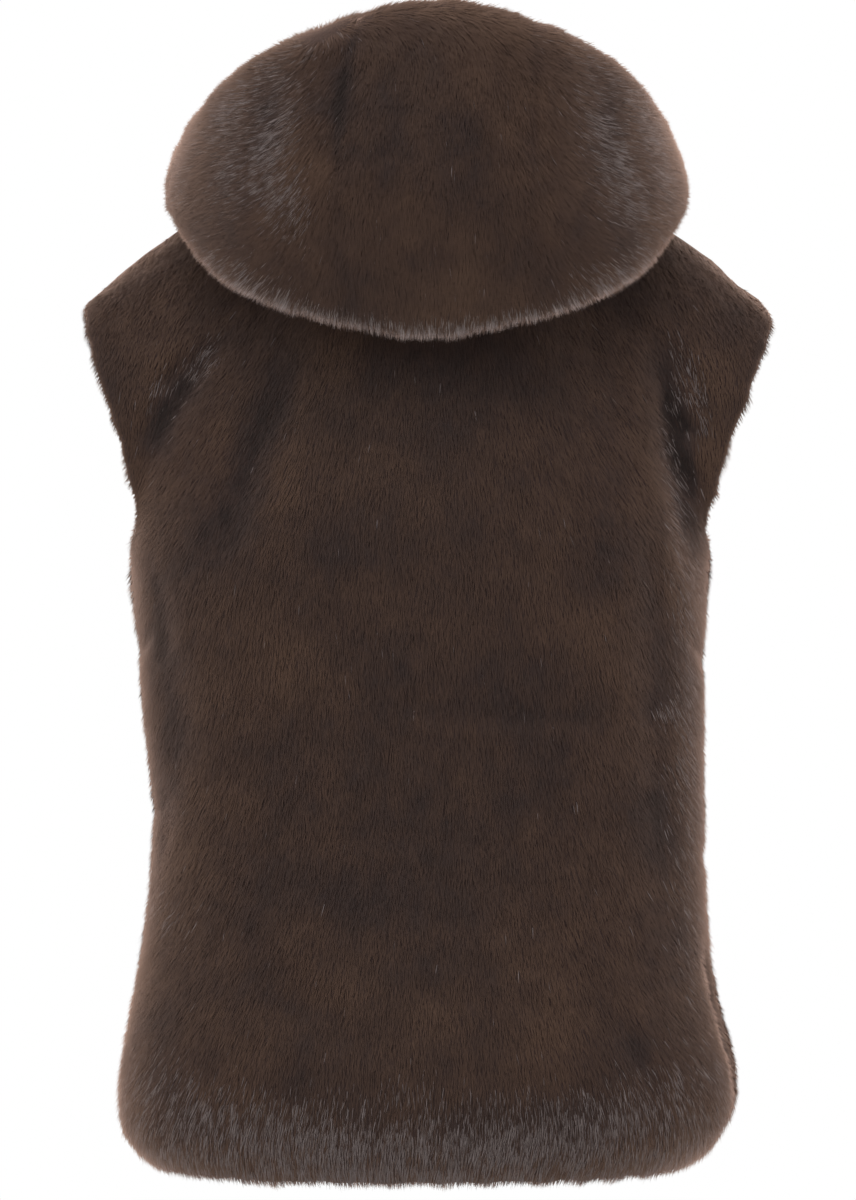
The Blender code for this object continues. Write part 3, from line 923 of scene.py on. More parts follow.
@dataclass
class Hood:
    """The hood as it hangs back: a centre gusset and two side panels."""

    neck: Neck
    hairpin_rise: float = 0.008
    hairpin_radius: float = 0.006
    fold_radius: float = 0.022
    fold_outer_drop: float = 20
    under_slack: float = 0.002
    lean: float = 0.007
    spans: tuple[int, ...] = (1, 1, 1, 2, 2, 2, 2, 2, 4, 2)
    last_step: float = 170
    # The angles between which the middle of the hood gives way to its sides.
    side_angles: Span = (8, 50)
    # How strongly the hair runs up each section, by the row of the grid, at the middle and at the sides.
    nap_rows: tuple[float, ...] = (0, 9, 11, 13, 15, 16, 17, 19)
    nap_up_middle: tuple[float, ...] = (-1, -1, -1, -1, -1, -0.9, 0.3, 0.6)
    nap_up_side: tuple[float, ...] = (-1, -1, -0.8, -0.4, 0.0, 0.2, 0.4, 0.6)
    # Between hair that runs down and hair that runs up over the crest, the middle's hair sweeps sideways.
    sweep_rows: tuple[float, ...] = (15, 16, 17, 18)
    sweep: tuple[float, ...] = (0, 0.6, 0.6, 0)
    # Painted sheen on the fringe under the fold and along the crest, as a share of pale hairs by row.
    fringe_rows: tuple[float, ...] = (0, 8, 9, 10, 11, 17, 18, 19)
    row_painted_sheen: tuple[float, ...] = (0, 0.40, 0.90, 0.80, 0, 0, 0.30, 0.30)
    lift_rows: tuple[float, ...] = (0, 8, 9, 10, 11, 12.5, 15, 16, 17, 19)
    row_lift: tuple[float, ...] = (0, 0.10, 0.28, 0.42, 0.30, 0.05, 0, -0.05, -0.22, -0.28)
    # Hair is sparse on the rows inside the fold, which can't be seen.
    cover_rows: tuple[float, ...] = (0, 7, 9)
    row_cover: tuple[float, ...] = (0.35, 0.5, 1)
    side_rows: tuple[float, ...] = (0, 8, 10)
    side_out: tuple[float, ...] = (0, 0, 1)

    def section(self, angle: float) -> Floats:
        """Points of the hood at one angle, from the neck seam to the face edge.

        Args:
            angle: The angle round the neck, in degrees.

        Returns:
            The points.
        """
        angles = [-HOOD_SECTIONS[1].angle, *(s.angle for s in HOOD_SECTIONS), 360 - HOOD_SECTIONS[-2].angle]
        rows = [HOOD_SECTIONS[1], *HOOD_SECTIONS, HOOD_SECTIONS[-2]]

        def value(name: str) -> float:
            return float(through(angles, [getattr(row, name) for row in rows], abs(angle)))

        out, seam, normal = self.neck.outward(angle), self.neck.line(angle), self.neck.normals(angle)
        along = unit(UP - normal * normal[2])
        hairpin = seam + along * self.hairpin_rise
        centre = out * value("fold_out") + UP * value("fold_z")
        inner_fold = centre - out * self.fold_radius
        drop = math.radians(self.fold_outer_drop)
        turned = hairpin + normal * 2 * self.hairpin_radius
        marks = [
            seam,
            hairpin,
            hairpin + (normal + along) * self.hairpin_radius,
            turned,
            (turned + inner_fold) / 2 + normal * self.under_slack,
            inner_fold,
            centre - UP * self.fold_radius,
            centre + (out * math.cos(drop) - UP * math.sin(drop)) * self.fold_radius,
            out * value("belly_out") + UP * value("belly_z"),
            out * value("crest_out") + UP * value("crest_z"),
            out * value("rim_out") + UP * value("rim_z"),
        ]
        line = self._spline(np.array(marks))
        low, high = self.neck.line(0)[2], HOOD_SECTIONS[0].crest_z
        risen = np.clip((line[:, 2] - low) / (high - low), 0, 1)
        line[:, 0] += self.lean * risen * max(-out[1], 0)
        return line

    def _spline(self, marks: Floats) -> Floats:
        """A smooth line through marks, with the hood's number of steps for each stretch.

        Args:
            marks: The points that the line passes.

        Returns:
            The line's points.
        """
        chords = np.linalg.norm(np.diff(marks, axis=0), axis=1)
        knots = np.concatenate([[0], np.cumsum(np.sqrt(chords))])
        stretches = [
            np.linspace(start, end, steps + 1)[1:]
            for start, end, steps in zip(knots, knots[1:], self.spans)
        ]
        at = np.concatenate([[0], *stretches])
        return np.stack([through(knots, marks[:, axis], at) for axis in range(3)], axis=1)

    def face(self) -> tuple[Cloth, Floats]:
        """The whole hood, and the angle of each of its columns.

        Returns:
            The cloth, and the angles in degrees.
        """
        limit = self.neck.front_angle
        steps = self.neck.angles(-self.last_step, self.last_step)
        angles = np.concatenate([[-limit], steps, [limit]])
        points = np.stack([self.section(angle) for angle in angles], axis=1)
        normals = normals_of(points)
        normals[0] = self.neck.normals(angles)
        rows, columns = points.shape[:2]
        places = np.arange(rows)

        def by_row(at: tuple[float, ...], values: tuple[float, ...]) -> Floats:
            return np.interp(places, at, values)[:, None]

        to_side = smooth_step(np.abs(angles), *self.side_angles)
        middle = by_row(self.nap_rows, self.nap_up_middle)
        upwards = middle + (by_row(self.nap_rows, self.nap_up_side) - middle) * to_side
        around = np.sign(angles) * to_side + by_row(self.sweep_rows, self.sweep) * (1 - to_side)
        nap = unit(directions(points, 0)) * upwards[..., None]
        nap += unit(directions(points, 1)) * around[..., None]
        cloth = Cloth(
            points=points,
            normals=normals,
            nap=nap,
            gleam=by_row(self.fringe_rows, self.row_painted_sheen) * np.ones(columns),
            lift=by_row(self.lift_rows, self.row_lift) * np.ones(columns),
            cover=by_row(self.cover_rows, self.row_cover) * np.ones(columns),
            side=self.neck.outward(angles) * by_row(self.side_rows, self.side_out)[..., None],
            marks=Marks(HOOD_CREASES, PAINTED_SHEEN_ON_HOOD),
            bottom=[Edge.NECK] * (columns - 1),
            right=[Edge.FRONT] * (rows - 1),
            top=[Edge.RIM] * (columns - 1),
            left=[Edge.FRONT] * (rows - 1),
        )
        return cloth, angles

    def panels(self) -> dict[str, Cloth]:
        """The three panels, cut at the gusset seams.

        Returns:
            Each panel's cloth by its name.
        """
        whole, angles = self.face()
        left = int(np.flatnonzero(angles == self.neck.gusset_left)[0])
        right = int(np.flatnonzero(angles == self.neck.gusset_right)[0])
        gusset = [Edge.GUSSET] * len(whole.left)
        return {
            "hood_left": whole.columns(slice(0, left + 1), gusset, whole.left),
            "hood_centre": whole.columns(slice(left, right + 1), gusset, gusset),
            "hood_right": whole.columns(slice(right, len(angles)), whole.right, gusset),
        }


@dataclass(frozen=True)
class Rim:
    """How the pile rolls round a soft edge, and how far the blades of hair turn to the seen side."""

    steps: int = 6
    tufts: Ripple = Ripple(wavelength=0.024, height=1.0, seed=23)
    bulge: float = 0.0007
    lean: float = 0.35
    reach: float = 0.52
    uneven: float = 0.16
    # No hair grows past this share of the roll, where the pile meets the backing.
    bare_past: float = 0.95
    blade_turn: float = 0.55
    blade_switch: float = 0.7


@dataclass(frozen=True)
class Tones:
    """Painted highlights at the soft edges, hem and crest, and where the hair is darker along the gusset's
    seams.
    """

    # Painted highlight on rolled soft edges, towards the hem between these drops, and on ridges where the
    # hair lies flat.
    rim_painted_highlight: float = 0.8
    hem_painted_highlight: float = 0.9
    hem_drops: Span = (0.680, 0.716)
    ridge_painted_highlight: float = 0.8
    ridge_lift: float = 0.28
    seam_left: float = 0.60
    seam_right: float = 0.30
    seam_width: float = 0.005
    seam_heights: Span = (-0.110, 0.040)
    seam_faintest: float = 0.15


@dataclass(frozen=True)
class Layers:
    """How deep each layer lies under the tips of the fur, and how fine its grid is."""

    wall: float = 0.014
    backing: float = 0.0016
    undercoat: float = 0.0040
    backing_step: float = 0.009
    undercoat_step: float = 0.005
    lumps: Ripple = Ripple(wavelength=0.022, height=0.0007, seed=11)
    seam_dip: float = 0.0015
    seam_dip_width: float = 0.006
    rim: Rim = Rim()
    tones: Tones = Tones()


class Layer:
    """Builds the layers of one panel from its cloth."""

    def __init__(self, cloth: Cloth, layers: Layers) -> None:
        """Keeps the cloth and the depths of its layers."""
        self.cloth = cloth
        self.layers = layers

    def flat_places(self, cloth: Cloth) -> Floats:
        """Each grid point's place on the flat cloth, in metres: across along its row, up along its column.

        Args:
            cloth: The cloth.

        Returns:
            Two numbers for each grid point.
        """
        across = np.linalg.norm(np.diff(cloth.points, axis=1), axis=-1)
        up = np.linalg.norm(np.diff(cloth.points, axis=0), axis=-1)
        u = np.concatenate([np.zeros((len(across), 1)), np.cumsum(across, axis=1)], axis=1)
        v = np.concatenate([np.zeros((1, up.shape[1])), np.cumsum(up, axis=0)], axis=0)
        return np.stack([u - u.mean(axis=1, keepdims=True), v], axis=-1)

    def backing(self, name: str) -> bpy.types.Object:
        """The knit backing, a thin closed shell at the inner side of the panel.

        Args:
            name: The piece's name.

        Returns:
            The piece.
        """
        cloth = self.cloth.refined(self.layers.backing_step)
        rows, columns = cloth.points.shape[:2]
        outer = cloth.points - cloth.normals * (self.layers.wall - self.layers.backing)
        inner = cloth.points - cloth.normals * self.layers.wall
        size = rows * columns
        faces = grid_faces(rows, columns)
        faces += [tuple(corner + size for corner in reversed(face)) for face in faces]
        ring = [r * columns + c for r, c in cloth.border()[0]]
        for near, far in zip(ring, ring[1:] + ring[:1]):
            faces.append((far, near, near + size, far + size))
        points = np.concatenate([outer.reshape(-1, 3), inner.reshape(-1, 3)])
        places = self.flat_places(cloth).reshape(-1, 2)
        return make_piece(name, points, faces, np.concatenate([places, places]))

    def undercoat(self, name: str) -> bpy.types.Object:
        """The dense short pile, which rolls round the soft edges and closes on the backing.

        Args:
            name: The piece's name.

        Returns:
            The piece, with what the hair needs stored at its points.
        """
        cloth = self.cloth.refined(self.layers.undercoat_step)
        rows, columns = cloth.points.shape[:2]
        sunk = self.layers.undercoat + self.seam_dips(cloth) - self.layers.lumps.on(cloth.points)
        top = cloth.points - cloth.normals * sunk[..., None]
        points, places = list(top.reshape(-1, 3)), list(self.flat_places(cloth).reshape(-1, 2))
        pile = {
            "pile_normal": list(cloth.normals.reshape(-1, 3)),
            "nap": list(cloth.nap.reshape(-1, 3)),
            "blade_normal": list((cloth.normals + cloth.side * self.layers.rim.blade_turn).reshape(-1, 3)),
            "cover": list(cloth.cover.reshape(-1)),
            "reach": list(np.ones(rows * columns)),
            "gleam": list(cloth.gleam.reshape(-1)),
            "shadow": list(self.shadows(cloth).reshape(-1)),
            "lift": list(cloth.lift.reshape(-1)),
        }
        chains = self._roll(cloth, top, points, pile)
        for chain in chains:
            places += [places[chain[0]]] * (len(chain) - 1)
        faces = grid_faces(rows, columns)
        for near, far in zip(chains, chains[1:] + chains[:1]):
            faces += [(far[n], near[n], near[n + 1], far[n + 1]) for n in range(len(near) - 1)]
        piece = make_piece(name, np.array(points), faces, np.array(places))
        for key, kind in PILE_KINDS.items():
            values = np.array(pile[key])
            store(piece.data, key, kind, unit(values) if kind == "FLOAT_VECTOR" else values)
        return piece

    def _roll(self, cloth: Cloth, top: Floats, points: list, pile: dict[str, list]) -> list[list[int]]:
        """Rolls the pile round the border, down to the backing.

        Args:
            cloth: The refined cloth.
            top: The undercoat's grid.
            points: The undercoat's points, to which the rolled ones are added.
            pile: What each point holds, by attribute, which grows with the points.

        Returns:
            For each border point, its own number and those of the points that roll down from it.
        """
        rim, tufts = self.layers.rim, self.layers.rim.tufts.on(cloth.points)
        floor = self.layers.wall - self.layers.backing / 2
        chains = []
        for place, way, soft in zip(cloth.border()[0], *cloth.edge_ways()):
            start, normal = top[place], cloth.normals[place]
            end = cloth.points[place] - normal * floor
            radius = np.linalg.norm(end - start) / 2
            first = place[0] * cloth.points.shape[1] + place[1]
            chain = [first]
            for turn in np.linspace(0, math.pi, rim.steps + 1)[1:]:
                cosine, sine = math.cos(turn), math.sin(turn)
                rolled = (normal * cosine + way * sine) if soft else normal
                bulge = soft * sine * (radius + rim.bulge * tufts[place])
                chain.append(len(points))
                points.append(start + (end - start) * ((1 - cosine) / 2) + way * bulge)
                to_side = rim.blade_turn * math.cos(turn * rim.blade_switch)
                added = {
                    "pile_normal": rolled,
                    "nap": cloth.nap[place] + way * soft * rim.lean * sine,
                    "blade_normal": rolled + cloth.side[place] * to_side,
                    "cover": cloth.cover[place] * soft * (turn < math.pi * rim.bare_past),
                    "reach": rim.reach + rim.uneven * tufts[place],
                    "gleam": pile["gleam"][first],
                    # Painted highlight on the hair that rolls round a soft edge.
                    "shadow": pile["shadow"][first] - self.layers.tones.rim_painted_highlight * soft * sine,
                    "lift": pile["lift"][first],
                }
                for key, value in added.items():
                    pile[key].append(value)
            pile["reach"][first] = 1 - soft * (1 - rim.reach - rim.uneven * tufts[place])
            chains.append(chain)
        return chains

    def gusset_seams(self, cloth: Cloth) -> Iterator[tuple[Floats, Floats]]:
        """Each seam of the hood's gusset, and how far every point of the cloth is from it in its own row.

        Args:
            cloth: The refined cloth.

        Returns:
            The seams, each with its distances.
        """
        for column, edges in ((0, cloth.left), (-1, cloth.right)):
            if edges[0] is Edge.GUSSET:
                seam = cloth.points[:, [column]]
                yield seam, np.linalg.norm(cloth.points - seam, axis=-1)

    def seam_dips(self, cloth: Cloth) -> Floats:
        """How far the pile sinks towards the seams of the hood's gusset.

        Args:
            cloth: The refined cloth.

        Returns:
            A depth for each grid point.
        """
        dips = np.zeros(cloth.points.shape[:2])
        for _, away in self.gusset_seams(cloth):
            dips += self.layers.seam_dip * np.exp(-((away / self.layers.seam_dip_width) ** 2))
        return dips

    def shadows(self, cloth: Cloth) -> Floats:
        """How dark the hair is: painted shade in the folds, darker gusset seams, and painted highlights on
        hem and crest.

        Args:
            cloth: The refined cloth.

        Returns:
            A number for each grid point: more is darker, and less than 0 is lighter, a painted highlight.
        """
        tones = self.layers.tones
        seams = np.zeros(cloth.points.shape[:2])
        for seam, away in self.gusset_seams(cloth):
            risen = smooth_step(cloth.points[..., 2], *tones.seam_heights)
            strength = tones.seam_left if seam[0, 0, 0] < 0 else tones.seam_right
            strength *= risen * (1 - tones.seam_faintest) + tones.seam_faintest
            seams += strength * np.exp(-((away / tones.seam_width) ** 2))
        dark = cloth.marks.shadow(cloth.points) + seams
        # Painted highlight towards the hem, and on ridges where the hair lies flat.
        dark -= tones.hem_painted_highlight * smooth_step(-cloth.points[..., 2], *tones.hem_drops)
        dark -= tones.ridge_painted_highlight * np.clip(-cloth.lift / tones.ridge_lift, 0, 1)
        return dark


def grid_faces(rows: int, columns: int) -> list[tuple[int, ...]]:
    """The quads of a grid, facing out of the fur.

    Args:
        rows: How many rows of points.
        columns: How many points in a row.

    Returns:
        Four point numbers for each quad.
    """
    return [
        (a, a + 1, a + 1 + columns, a + columns)
        for r in range(rows - 1)
        for a in range(r * columns, r * columns + columns - 1)
    ]


def make_piece(
    name: str, points: Floats, faces: list[tuple[int, ...]], places: Floats
) -> bpy.types.Object:
    """An object with a smooth mesh and a UV map in metres of flat cloth.

    Args:
        name: The piece's name.
        points: Its vertices.
        faces: Its faces.
        places: For each vertex, its place on the flat cloth.

    Returns:
        The object, linked to the scene.
    """
    mesh = bpy.data.meshes.new(name)
    mesh.from_pydata(points.tolist(), [], faces)
    mesh.shade_smooth()
    corners = np.empty(len(mesh.loops), np.int32)
    mesh.loops.foreach_get("vertex_index", corners)
    flat = mesh.uv_layers.new(name=CLOTH_MAP)
    flat.uv.foreach_set("vector", places[corners].astype(np.float32).ravel())
    piece = bpy.data.objects.new(name, mesh)
    bpy.context.scene.collection.objects.link(piece)
    return piece


def store(mesh: bpy.types.Mesh, name: str, kind: str, values: Floats) -> None:
    """Stores one value for each vertex as a named attribute.

    Args:
        mesh: The mesh.
        name: The attribute's name.
        kind: Its data type.
        values: The values.
    """
    attribute = mesh.attributes.new(name, kind, "POINT")
    key = "vector" if kind == "FLOAT_VECTOR" else "value"
    attribute.data.foreach_set(key, values.astype(np.float32).ravel())


@dataclass(frozen=True)
class Draw:
    """A random number for each hair, between two ends."""

    low: float
    high: float
    seed: int


@dataclass(frozen=True)
class Noise:
    """A cloud pattern: how many waves it has in a metre, and how many finer layers."""

    scale: float | Socket
    detail: float
    roughness: float = 0.5


class NodeBoard:
    """A short way to write nodes and their links."""

    def __init__(self, tree: bpy.types.NodeTree) -> None:
        """Keeps the tree and clears it."""
        self.tree = tree
        self.tree.nodes.clear()

    def add(
        self, kind: str, inputs: dict[str | int, object] | None = None, **settings: object
    ) -> bpy.types.Node:
        """Adds a node.

        Args:
            kind: The node's type.
            inputs: For each input socket, by name or number, a value or an output socket to link.
            settings: The node's own properties.

        Returns:
            The node.
        """
        node = self.tree.nodes.new(kind)
        for key, value in settings.items():
            setattr(node, key, value)
        for key, value in (inputs or {}).items():
            socket = node.inputs[key]
            if isinstance(value, bpy.types.NodeSocket):
                self.tree.links.new(value, socket)
            else:
                socket.default_value = value
        return node

    def maths(self, operation: str, *values: object) -> Socket:
        """The result of one sum on numbers or sockets."""
        return self.add("ShaderNodeMath", dict(enumerate(values)), operation=operation).outputs[0]

    def vectors(self, operation: str, *values: object) -> Socket:
        """The result of one vector sum."""
        node = self.add("ShaderNodeVectorMath", dict(enumerate(values)), operation=operation)
        return node.outputs[0]

    def scaled(self, vector: object, amount: object) -> Socket:
        """A vector times a number."""
        inputs = {0: vector, "Scale": amount}
        return self.add("ShaderNodeVectorMath", inputs, operation="SCALE").outputs[0]

    # A random node has a pair of ends and an output for each kind of value: 0, 1 and 0 for a vector,
    # 2, 3 and 1 for a number.
    def random(self, draw: Draw) -> Socket:
        """A random number for each element."""
        inputs = {2: draw.low, 3: draw.high, "Seed": draw.seed}
        return self.add("FunctionNodeRandomValue", inputs, data_type="FLOAT").outputs[1]

    def random_vector(self, seed: int) -> Socket:
        """A random vector for each element, with each number from -1 to 1."""
        inputs = {0: (-1, -1, -1), 1: (1, 1, 1), "Seed": seed}
        return self.add("FunctionNodeRandomValue", inputs, data_type="FLOAT_VECTOR").outputs[0]

    def noise(self, noise: Noise, **inputs: object) -> bpy.types.Node:
        """A cloud pattern, with any other inputs by name."""
        shape = {"Scale": noise.scale, "Detail": noise.detail, "Roughness": noise.roughness}
        return self.add("ShaderNodeTexNoise", {**shape, **inputs})

    def attribute(self, name: str, kind: str = "FLOAT") -> Socket:
        """A named attribute of the geometry."""
        return self.add("GeometryNodeInputNamedAttribute", {"Name": name}, data_type=kind).outputs[0]

    def bump(self, shader: bpy.types.Node, height: Socket, strength: float, distance: float) -> None:
        """Gives a shader a relief from a height."""
        node = self.add("ShaderNodeBump", {"Strength": strength, "Distance": distance, "Height": height})
        self.tree.links.new(node.outputs[0], shader.inputs["Normal"])


@dataclass(frozen=True)
class Coat:
    """The guard hair of one panel: how many strands it has, and how they lie."""

    strands: int
    length: float = 0.0095
    width: float = 0.00072
    raised: float = 21
    ruffle: float = 0.35
    ruffle_scale: float = 70
    scatter: float = 0.20
    seed: int = 1


@dataclass(frozen=True)
class Growth:
    """How the hairs differ from one another, as factors of what the coat says, and as a spin in radians."""

    raised: Draw = Draw(0.65, 1.35, 5)
    spin: Draw = Draw(-0.65, 0.65, 6)
    width: Draw = Draw(0.6, 1.3, 7)
    length: Draw = Draw(0.72, 1.12, 8)
    scatter_seed: int = 3
    ruffle_detail: float = 2.0
    pale_finer: float = 0.4
    lift_longer: float = 0.35


@dataclass(frozen=True)
class Shades:
    """How the shade of each hair is mixed, from 0, dark, through warm brown to 1, pale grey, the painted
    sheen.
    """

    patches: Noise = Noise(14.0, 3.0, 0.6)
    patch_gain: float = 1.10
    base: float = -0.30
    tufts: Noise = Noise(90.0, 2.0)
    tuft_gain: float = 0.30
    each: Draw = Draw(-0.07, 0.07, 9)
    # How far the shadow attribute moves the shade: painted shade in folds, painted highlights, darker seams.
    shadow_gain: float = 0.45
    darkest: float = 0.02
    warmest: float = 0.70
    # Pale hairs, a painted sheen, come by chance where the streaks are, in wisps, and a few stray ones
    # anywhere.
    pale: Draw = Draw(0.74, 0.92, 10)
    # Lifted hair on the fringe is paler still, a painted highlight.
    lifted_sheen: float = 0.22
    wisps: Noise = Noise(170.0, 1.0)
    wisp_levels: Span = (0.38, 0.64)
    wisp_gains: Span = (0.25, 1.5)
    stray: float = 0.0010
    chance: Draw = Draw(0, 1, 12)
    # How far each long edge of a hair is from its shade on the strand map.
    map_width: float = 0.006


class GuardHair:
    """Grows a panel's guard hair from its undercoat with a node tree."""

    inputs: dict[str, str] = {
        "Undercoat": "Geometry",
        "Strand": "Object",
        "Density": "Float",
        "Length": "Float",
        "Width": "Float",
        "Raised": "Float",
        "Ruffle": "Float",
        "Ruffle Scale": "Float",
        "Scatter": "Float",
        "Seed": "Int",
        "Material": "Material",
    }
    growth = Growth()
    shades = Shades()

    def __init__(self, material: bpy.types.Material) -> None:
        """Builds the tree once for all panels.

        Args:
            material: The hair's material.
        """
        self.material = material
        self.strand = self._strand()
        self.tree = bpy.data.node_groups.new("guard_hair", "GeometryNodeTree")
        self.sockets: dict[str, str] = {}
        self._build()

    def _strand(self) -> bpy.types.Object:
        """One hair as a long triangle of unit size, standing along Z.

        Returns:
            The strand, which isn't linked to the scene.
        """
        mesh = bpy.data.meshes.new("strand")
        mesh.from_pydata([(0.5, 0, 0), (-0.5, 0, 0), (0, 0, 1)], [], [(0, 1, 2)])
        store(mesh, "side", "FLOAT", np.array([1.0, -1.0, 0.0]))
        store(mesh, "along", "FLOAT", np.array([0.0, 0.0, 1.0]))
        return bpy.data.objects.new("strand", mesh)

    def _build(self) -> None:
        """Lays out the tree: scatter, lean along the nap, instance, colour, realize and finish."""
        sockets = self.tree.interface
        for name, kind in self.inputs.items():
            socket = sockets.new_socket(name=name, in_out="INPUT", socket_type=f"NodeSocket{kind}")
            self.sockets[name] = socket.identifier
        sockets.new_socket(name="Hair", in_out="OUTPUT", socket_type="NodeSocketGeometry")
        board = NodeBoard(self.tree)
        given = board.add("NodeGroupInput").outputs
        roots = board.add(
            "GeometryNodeDistributePointsOnFaces",
            {
                "Mesh": given["Undercoat"],
                "Density": board.maths("MULTIPLY", given["Density"], board.attribute("cover")),
                "Seed": given["Seed"],
            },
            distribute_method="RANDOM",
        )
        strand = board.add("GeometryNodeObjectInfo", {"Object": given["Strand"]})
        hairs = board.add(
            "GeometryNodeInstanceOnPoints",
            {
                "Points": roots.outputs["Points"],
                "Instance": strand.outputs["Geometry"],
                "Rotation": self._lean(board, given),
                "Scale": self._size(board, given),
            },
        )
        shaded = board.add(
            "GeometryNodeStoreNamedAttribute",
            {"Geometry": hairs.outputs[0], "Name": "shade", "Value": self._shade(board)},
            data_type="FLOAT",
            domain="INSTANCE",
        )
        real = board.add("GeometryNodeRealizeInstances", {"Geometry": shaded.outputs[0]})
        sideways = board.maths("MULTIPLY", board.attribute("side"), self.shades.map_width)
        place = board.add(
            "ShaderNodeCombineXYZ",
            {"X": board.maths("ADD", board.attribute("shade"), sideways), "Y": board.attribute("along")},
        )
        mapped = board.add(
            "GeometryNodeStoreNamedAttribute",
            {"Geometry": real.outputs[0], "Name": STRAND_MAP, "Value": place.outputs[0]},
            data_type="FLOAT2",
            domain="CORNER",
        )
        geometry = mapped.outputs[0]
        # The mesh keeps the pile's normal for _face_out. The rest has done its work by now.
        used = [name for name in PILE_KINDS if name != "pile_normal"]
        for name in (*used, "side", "along", "shade", CLOTH_MAP):
            inputs = {"Geometry": geometry, "Name": name}
            geometry = board.add("GeometryNodeRemoveAttribute", inputs).outputs[0]
        inputs = {"Geometry": geometry, "Material": given["Material"]}
        finished = board.add("GeometryNodeSetMaterial", inputs)
        board.add("NodeGroupOutput", {"Hair": finished.outputs[0]})

    def _lean(self, board: NodeBoard, given: bpy.types.NodeInputs) -> Socket:
        """How each hair is turned: along the nap, raised, ruffled in tufts and a little at random.

        Args:
            board: Where the nodes go.
            given: The tree's inputs.

        Returns:
            The rotation.
        """
        normal = board.attribute("pile_normal", "FLOAT_VECTOR")
        blade = board.attribute("blade_normal", "FLOAT_VECTOR")
        ruffle = Noise(given["Ruffle Scale"], self.growth.ruffle_detail)
        tufts = board.vectors("SUBTRACT", board.noise(ruffle).outputs["Color"], (0.5, 0.5, 0.5))
        loose = board.random_vector(self.growth.scatter_seed)
        ruffled = board.scaled(tufts, given["Ruffle"])
        nap = board.vectors("ADD", board.attribute("nap", "FLOAT_VECTOR"), ruffled)
        nap = board.vectors("ADD", nap, board.scaled(loose, given["Scatter"]))
        nap = board.vectors("NORMALIZE", nap)
        raised = board.maths("MULTIPLY", given["Raised"], board.random(self.growth.raised))
        raised = board.maths("ADD", raised, board.attribute("lift"))
        direction = board.vectors(
            "ADD",
            board.scaled(normal, board.maths("SINE", raised)),
            board.scaled(nap, board.maths("COSINE", raised)),
        )
        axes = {"Primary Axis": direction, "Secondary Axis": blade}
        along = board.add("FunctionNodeAxesToRotation", axes, primary_axis="Z", secondary_axis="Y")
        spin = board.add("ShaderNodeCombineXYZ", {"Z": board.random(self.growth.spin)})
        turn = board.add("FunctionNodeEulerToRotation", {"Euler": spin.outputs[0]})
        turns = {"Rotation": along.outputs[0], "Rotate By": turn.outputs[0]}
        return board.add("FunctionNodeRotateRotation", turns, rotation_space="LOCAL").outputs[0]

    def _size(self, board: NodeBoard, given: bpy.types.NodeInputs) -> Socket:
        """The width and length of each hair.

        Args:
            board: Where the nodes go.
            given: The tree's inputs.

        Returns:
            The scale of the unit strand.
        """
        growth = self.growth
        width = board.maths("MULTIPLY", given["Width"], board.random(growth.width))
        finer = board.maths("MULTIPLY_ADD", board.attribute("gleam"), -growth.pale_finer, 1.0)
        width = board.maths("MULTIPLY", width, finer)
        length = board.maths("MULTIPLY", given["Length"], board.random(growth.length))
        length = board.maths("MULTIPLY", length, board.attribute("reach"))
        longer = board.maths("MULTIPLY_ADD", board.attribute("lift"), growth.lift_longer, 1.0)
        length = board.maths("MULTIPLY", length, longer)
        return board.add("ShaderNodeCombineXYZ", {"X": width, "Y": 1.0, "Z": length}).outputs[0]

    def _shade(self, board: NodeBoard) -> Socket:
        """The shade of each hair.

        Args:
            board: Where the nodes go.

        Returns:
            The shade, from 0 to 1.
        """
        shades = self.shades
        patches, tufts = board.noise(shades.patches), board.noise(shades.tufts)
        base = board.maths("MULTIPLY_ADD", patches.outputs[0], shades.patch_gain, shades.base)
        base = board.maths("MULTIPLY_ADD", tufts.outputs[0], shades.tuft_gain, base)
        base = board.maths("ADD", base, board.random(shades.each))
        # Painted shade in folds, painted highlights at edges, hem and crest, and darker gusset seams, from
        # the shadow attribute.
        base = board.maths("MULTIPLY_ADD", board.attribute("shadow"), -shades.shadow_gain, base)
        base = board.maths("MINIMUM", board.maths("MAXIMUM", base, shades.darkest), shades.warmest)
        # Pale hairs where the gleam streaks are: painted sheen.
        pale = board.random(shades.pale)
        pale = board.maths("MULTIPLY_ADD", board.attribute("lift"), shades.lifted_sheen, pale)
        ends = shades.wisp_levels + shades.wisp_gains
        levels = dict(zip(("From Min", "From Max", "To Min", "To Max"), ends))
        wisps = board.noise(shades.wisps)
        wisps = board.add("ShaderNodeMapRange", {"Value": wisps.outputs[0], **levels})
        chance = board.maths("MULTIPLY_ADD", board.attribute("gleam"), wisps.outputs[0], shades.stray)
        is_pale = board.maths("LESS_THAN", board.random(shades.chance), chance)
        mixed = board.add("ShaderNodeMix", {"Factor": is_pale, "A": base, "B": pale}, data_type="FLOAT")
        return mixed.outputs[0]

